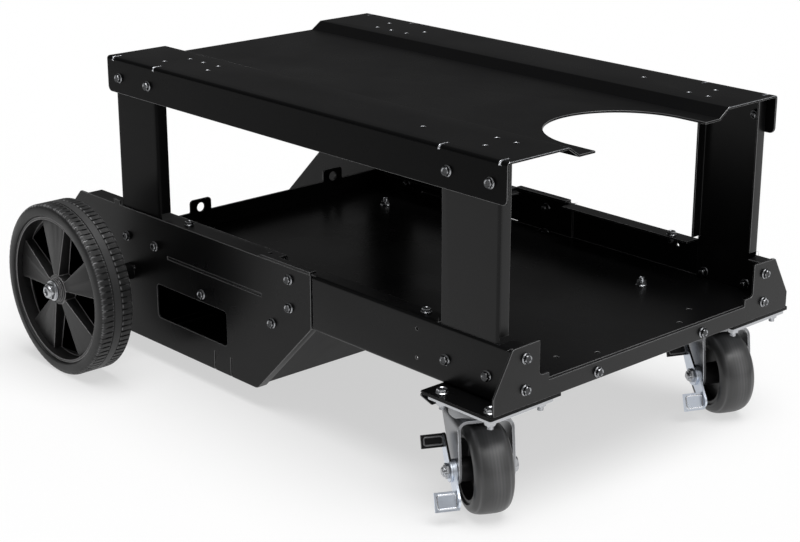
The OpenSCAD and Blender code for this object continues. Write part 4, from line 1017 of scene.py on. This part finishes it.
def pad_frame(name, inner, along, up, height, reach=31 * MM, thick=3 * MM, tilt=20, border=3.5 * MM,
              corner=3 * MM, ridge=1.1 * MM, lift=0.9 * MM, sunk=0.05 * MM):
    """Raised frame on the front of a brake pad: a half-round ridge, its height the sine of the way across it,
    carried round a rounded rectangle inside the pad's border and sunk a little into it."""
    centre, rolling, axle = caster_axes(name)
    lean, upright = math.radians(tilt), np.array((0, 0, 1.0))
    pad_up = upright * math.cos(lean) - rolling * math.sin(lean)
    front = rolling * math.cos(lean) + upright * math.sin(lean)
    middle = centre + rolling * along + upright * up - axle * (inner + reach / 2) + front * thick / 2
    a = around(48)
    across = np.sign(np.cos(a)) * (reach / 2 - border - corner) + corner * np.cos(a)
    upward = np.sign(np.sin(a)) * (height / 2 - border - corner) + corner * np.sin(a)
    turn = np.linspace(0, math.pi, 7)
    offset = -ridge * np.cos(turn)
    x = across[:, None] + offset * np.cos(a)[:, None]
    y = upward[:, None] + offset * np.sin(a)[:, None]
    z = np.broadcast_to(lift * np.sin(turn) - sunk, x.shape)
    points = middle + x[..., None] * -axle + y[..., None] * pad_up + z[..., None] * front
    return points.reshape(-1, 3), grid_faces(len(a), len(turn), True, True)


class CART_OT_brakes(bpy.types.Operator):
    """Dress the side brakes' lever and pedal"""
    bl_idname = "cart.brakes"
    bl_label = "Side Brakes"

    def execute(self, context):
        s = context.scene.cart_sizes
        for name in SIDES:
            lever = edged_copy(f"brake_lever_{name}",
                               finishes("upright_coat", "blue_zinc", "coat_edge"), s.brake_edge)
            # The arm below the pad is bare
            pad_foot = caster_axes(name)[0][2] + 15 * MM
            finish_faces(lever, lambda middles, normals: middles[:, 2] < pad_foot)
            edged_copy(f"brake_pedal_{name}", finishes("blue_zinc", "zinc_edge"), s.brake_edge)
            for pad, (*place, slot, look) in PADS.items():
                # The raised frames take an edge finish as a painted highlight
                make_piece(f"{pad}_{name}_frame", pad_frame(name, *place), f"brake_{name}",
                           finishes(look))
        return {"FINISHED"}


# Stage

def sun(name, energy, width, direction):
    """A broad soft lamp that shines from a direction."""
    data = bpy.data.lights.new(name, "SUN")
    data.energy = energy
    data.angle = math.radians(width)
    lamp = linked(name, data)
    lamp.rotation_mode = "QUATERNION"
    lamp.rotation_quaternion = Vector(direction).to_track_quat("Z", "Y")


def floor_material(colour):
    """Pale matt floor. Rays that show it to the eye, also in metal, get the part of white that its colour
    lacks, as light of its own, so that it reads as white and keeps the shadow."""
    material = bpy.data.materials.new("pale_floor")
    material.use_nodes = True
    nodes = material.node_tree.nodes
    shader = nodes["Principled BSDF"]
    shader.inputs["Base Color"].default_value = (*colour, 1)
    shader.inputs["Roughness"].default_value = 1
    shader.inputs["Specular IOR Level"].default_value = 0
    path, glow, both = (nodes.new(kind) for kind in
                        ("ShaderNodeLightPath", "ShaderNodeEmission", "ShaderNodeAddShader"))
    seen, either, lift = (nodes.new("ShaderNodeMath") for _ in range(3))
    seen.operation = either.operation = "MAXIMUM"
    lift.operation = "MULTIPLY"
    lift.inputs[1].default_value = 1 - colour[0]
    wire(path, "Is Camera Ray", seen, 0)
    wire(path, "Is Glossy Ray", seen, 1)
    wire(seen, "Value", either, 0)
    wire(path, "Is Transmission Ray", either, 1)
    wire(either, "Value", lift, 0)
    wire(lift, "Value", glow, "Strength")
    wire(shader, "BSDF", both, 0)
    wire(glow, "Emission", both, 1)
    wire(both, "Shader", nodes["Material Output"], "Surface")
    return material


def make_floor(colour):
    """Flat floor of rings."""
    mesh = new_mesh("floor", lathe([(radius, 0) for radius in FLOOR_RINGS], 64))
    mesh.materials.append(floor_material(colour))
    floor = linked("floor", mesh)


def make_world(strength):
    """Even white light from all round."""
    world = bpy.data.worlds.new("studio")
    world.use_nodes = True
    background = world.node_tree.nodes["Background"]
    background.inputs["Color"].default_value = (1, 1, 1, 1)
    background.inputs["Strength"].default_value = strength
    bpy.context.scene.world = world


def make_camera(st):
    """Camera that looks at its target from an azimuth and an elevation."""
    camera = linked("camera", bpy.data.cameras.new("camera"))
    back = Vector((math.sin(st.azimuth) * math.cos(st.elevation),
                      -math.cos(st.azimuth) * math.cos(st.elevation), math.sin(st.elevation)))
    camera.location = Vector(st.target) + back * st.distance
    camera.rotation_mode = "QUATERNION"
    camera.rotation_quaternion = back.to_track_quat("Z", "Y")
    camera.data.lens = st.lens
    camera.data.sensor_width = SENSOR_WIDTH
    bpy.context.scene.camera = camera


class CART_OT_stage(bpy.types.Operator):
    """Make the floor, the lamps and the camera"""
    bl_idname = "cart.stage"
    bl_label = "Stage"

    def execute(self, context):
        scene, st = context.scene, context.scene.cart_stage
        make_floor(scene.cart_colours.floor)
        make_world(st.sky)
        sun("key", st.key, KEY_WIDTH, KEY_FROM)
        sun("front_fill", st.fill, FILL_WIDTH, FILL_FROM)
        make_camera(st)
        scene.view_settings.view_transform = "Standard"
        return {"FINISHED"}


class CART_PT_looks(bpy.types.Panel):
    """The cart's operators"""
    bl_label = "Welding Cart"
    bl_idname = "CART_PT_looks"
    bl_space_type = "VIEW_3D"
    bl_region_type = "UI"
    bl_category = "Cart"

    def draw(self, context):
        for operator in OPERATORS:
            self.layout.operator(operator.bl_idname)


GROUP_PROPERTIES = {"cart_sizes": CartSizes, "cart_colours": CartColours, "cart_stage": CartStage}
OPERATORS = (CART_OT_materials, CART_OT_sheets, CART_OT_fasteners, CART_OT_rear_wheels, CART_OT_casters,
             CART_OT_brakes, CART_OT_stage)
CLASSES = (*GROUP_PROPERTIES.values(), *OPERATORS, CART_PT_looks)


def register():
    """Registers the classes and adds the settings to the scene."""
    for cls in CLASSES:
        bpy.utils.register_class(cls)
    for name, cls in GROUP_PROPERTIES.items():
        setattr(bpy.types.Scene, name, bpy.props.PointerProperty(type=cls))


def unregister():
    """Takes away what register added."""
    for name in GROUP_PROPERTIES:
        delattr(bpy.types.Scene, name)
    for cls in reversed(CLASSES):
        bpy.utils.unregister_class(cls)


def main():
    """Makes every piece and the stage."""
    register()
    bpy.ops.cart.materials()
    bpy.ops.cart.sheets()
    bpy.ops.cart.fasteners()
    bpy.ops.cart.rear_wheels()
    bpy.ops.cart.casters()
    bpy.ops.cart.brakes()
    bpy.ops.cart.stage()


if __name__ == "__main__":
    main()
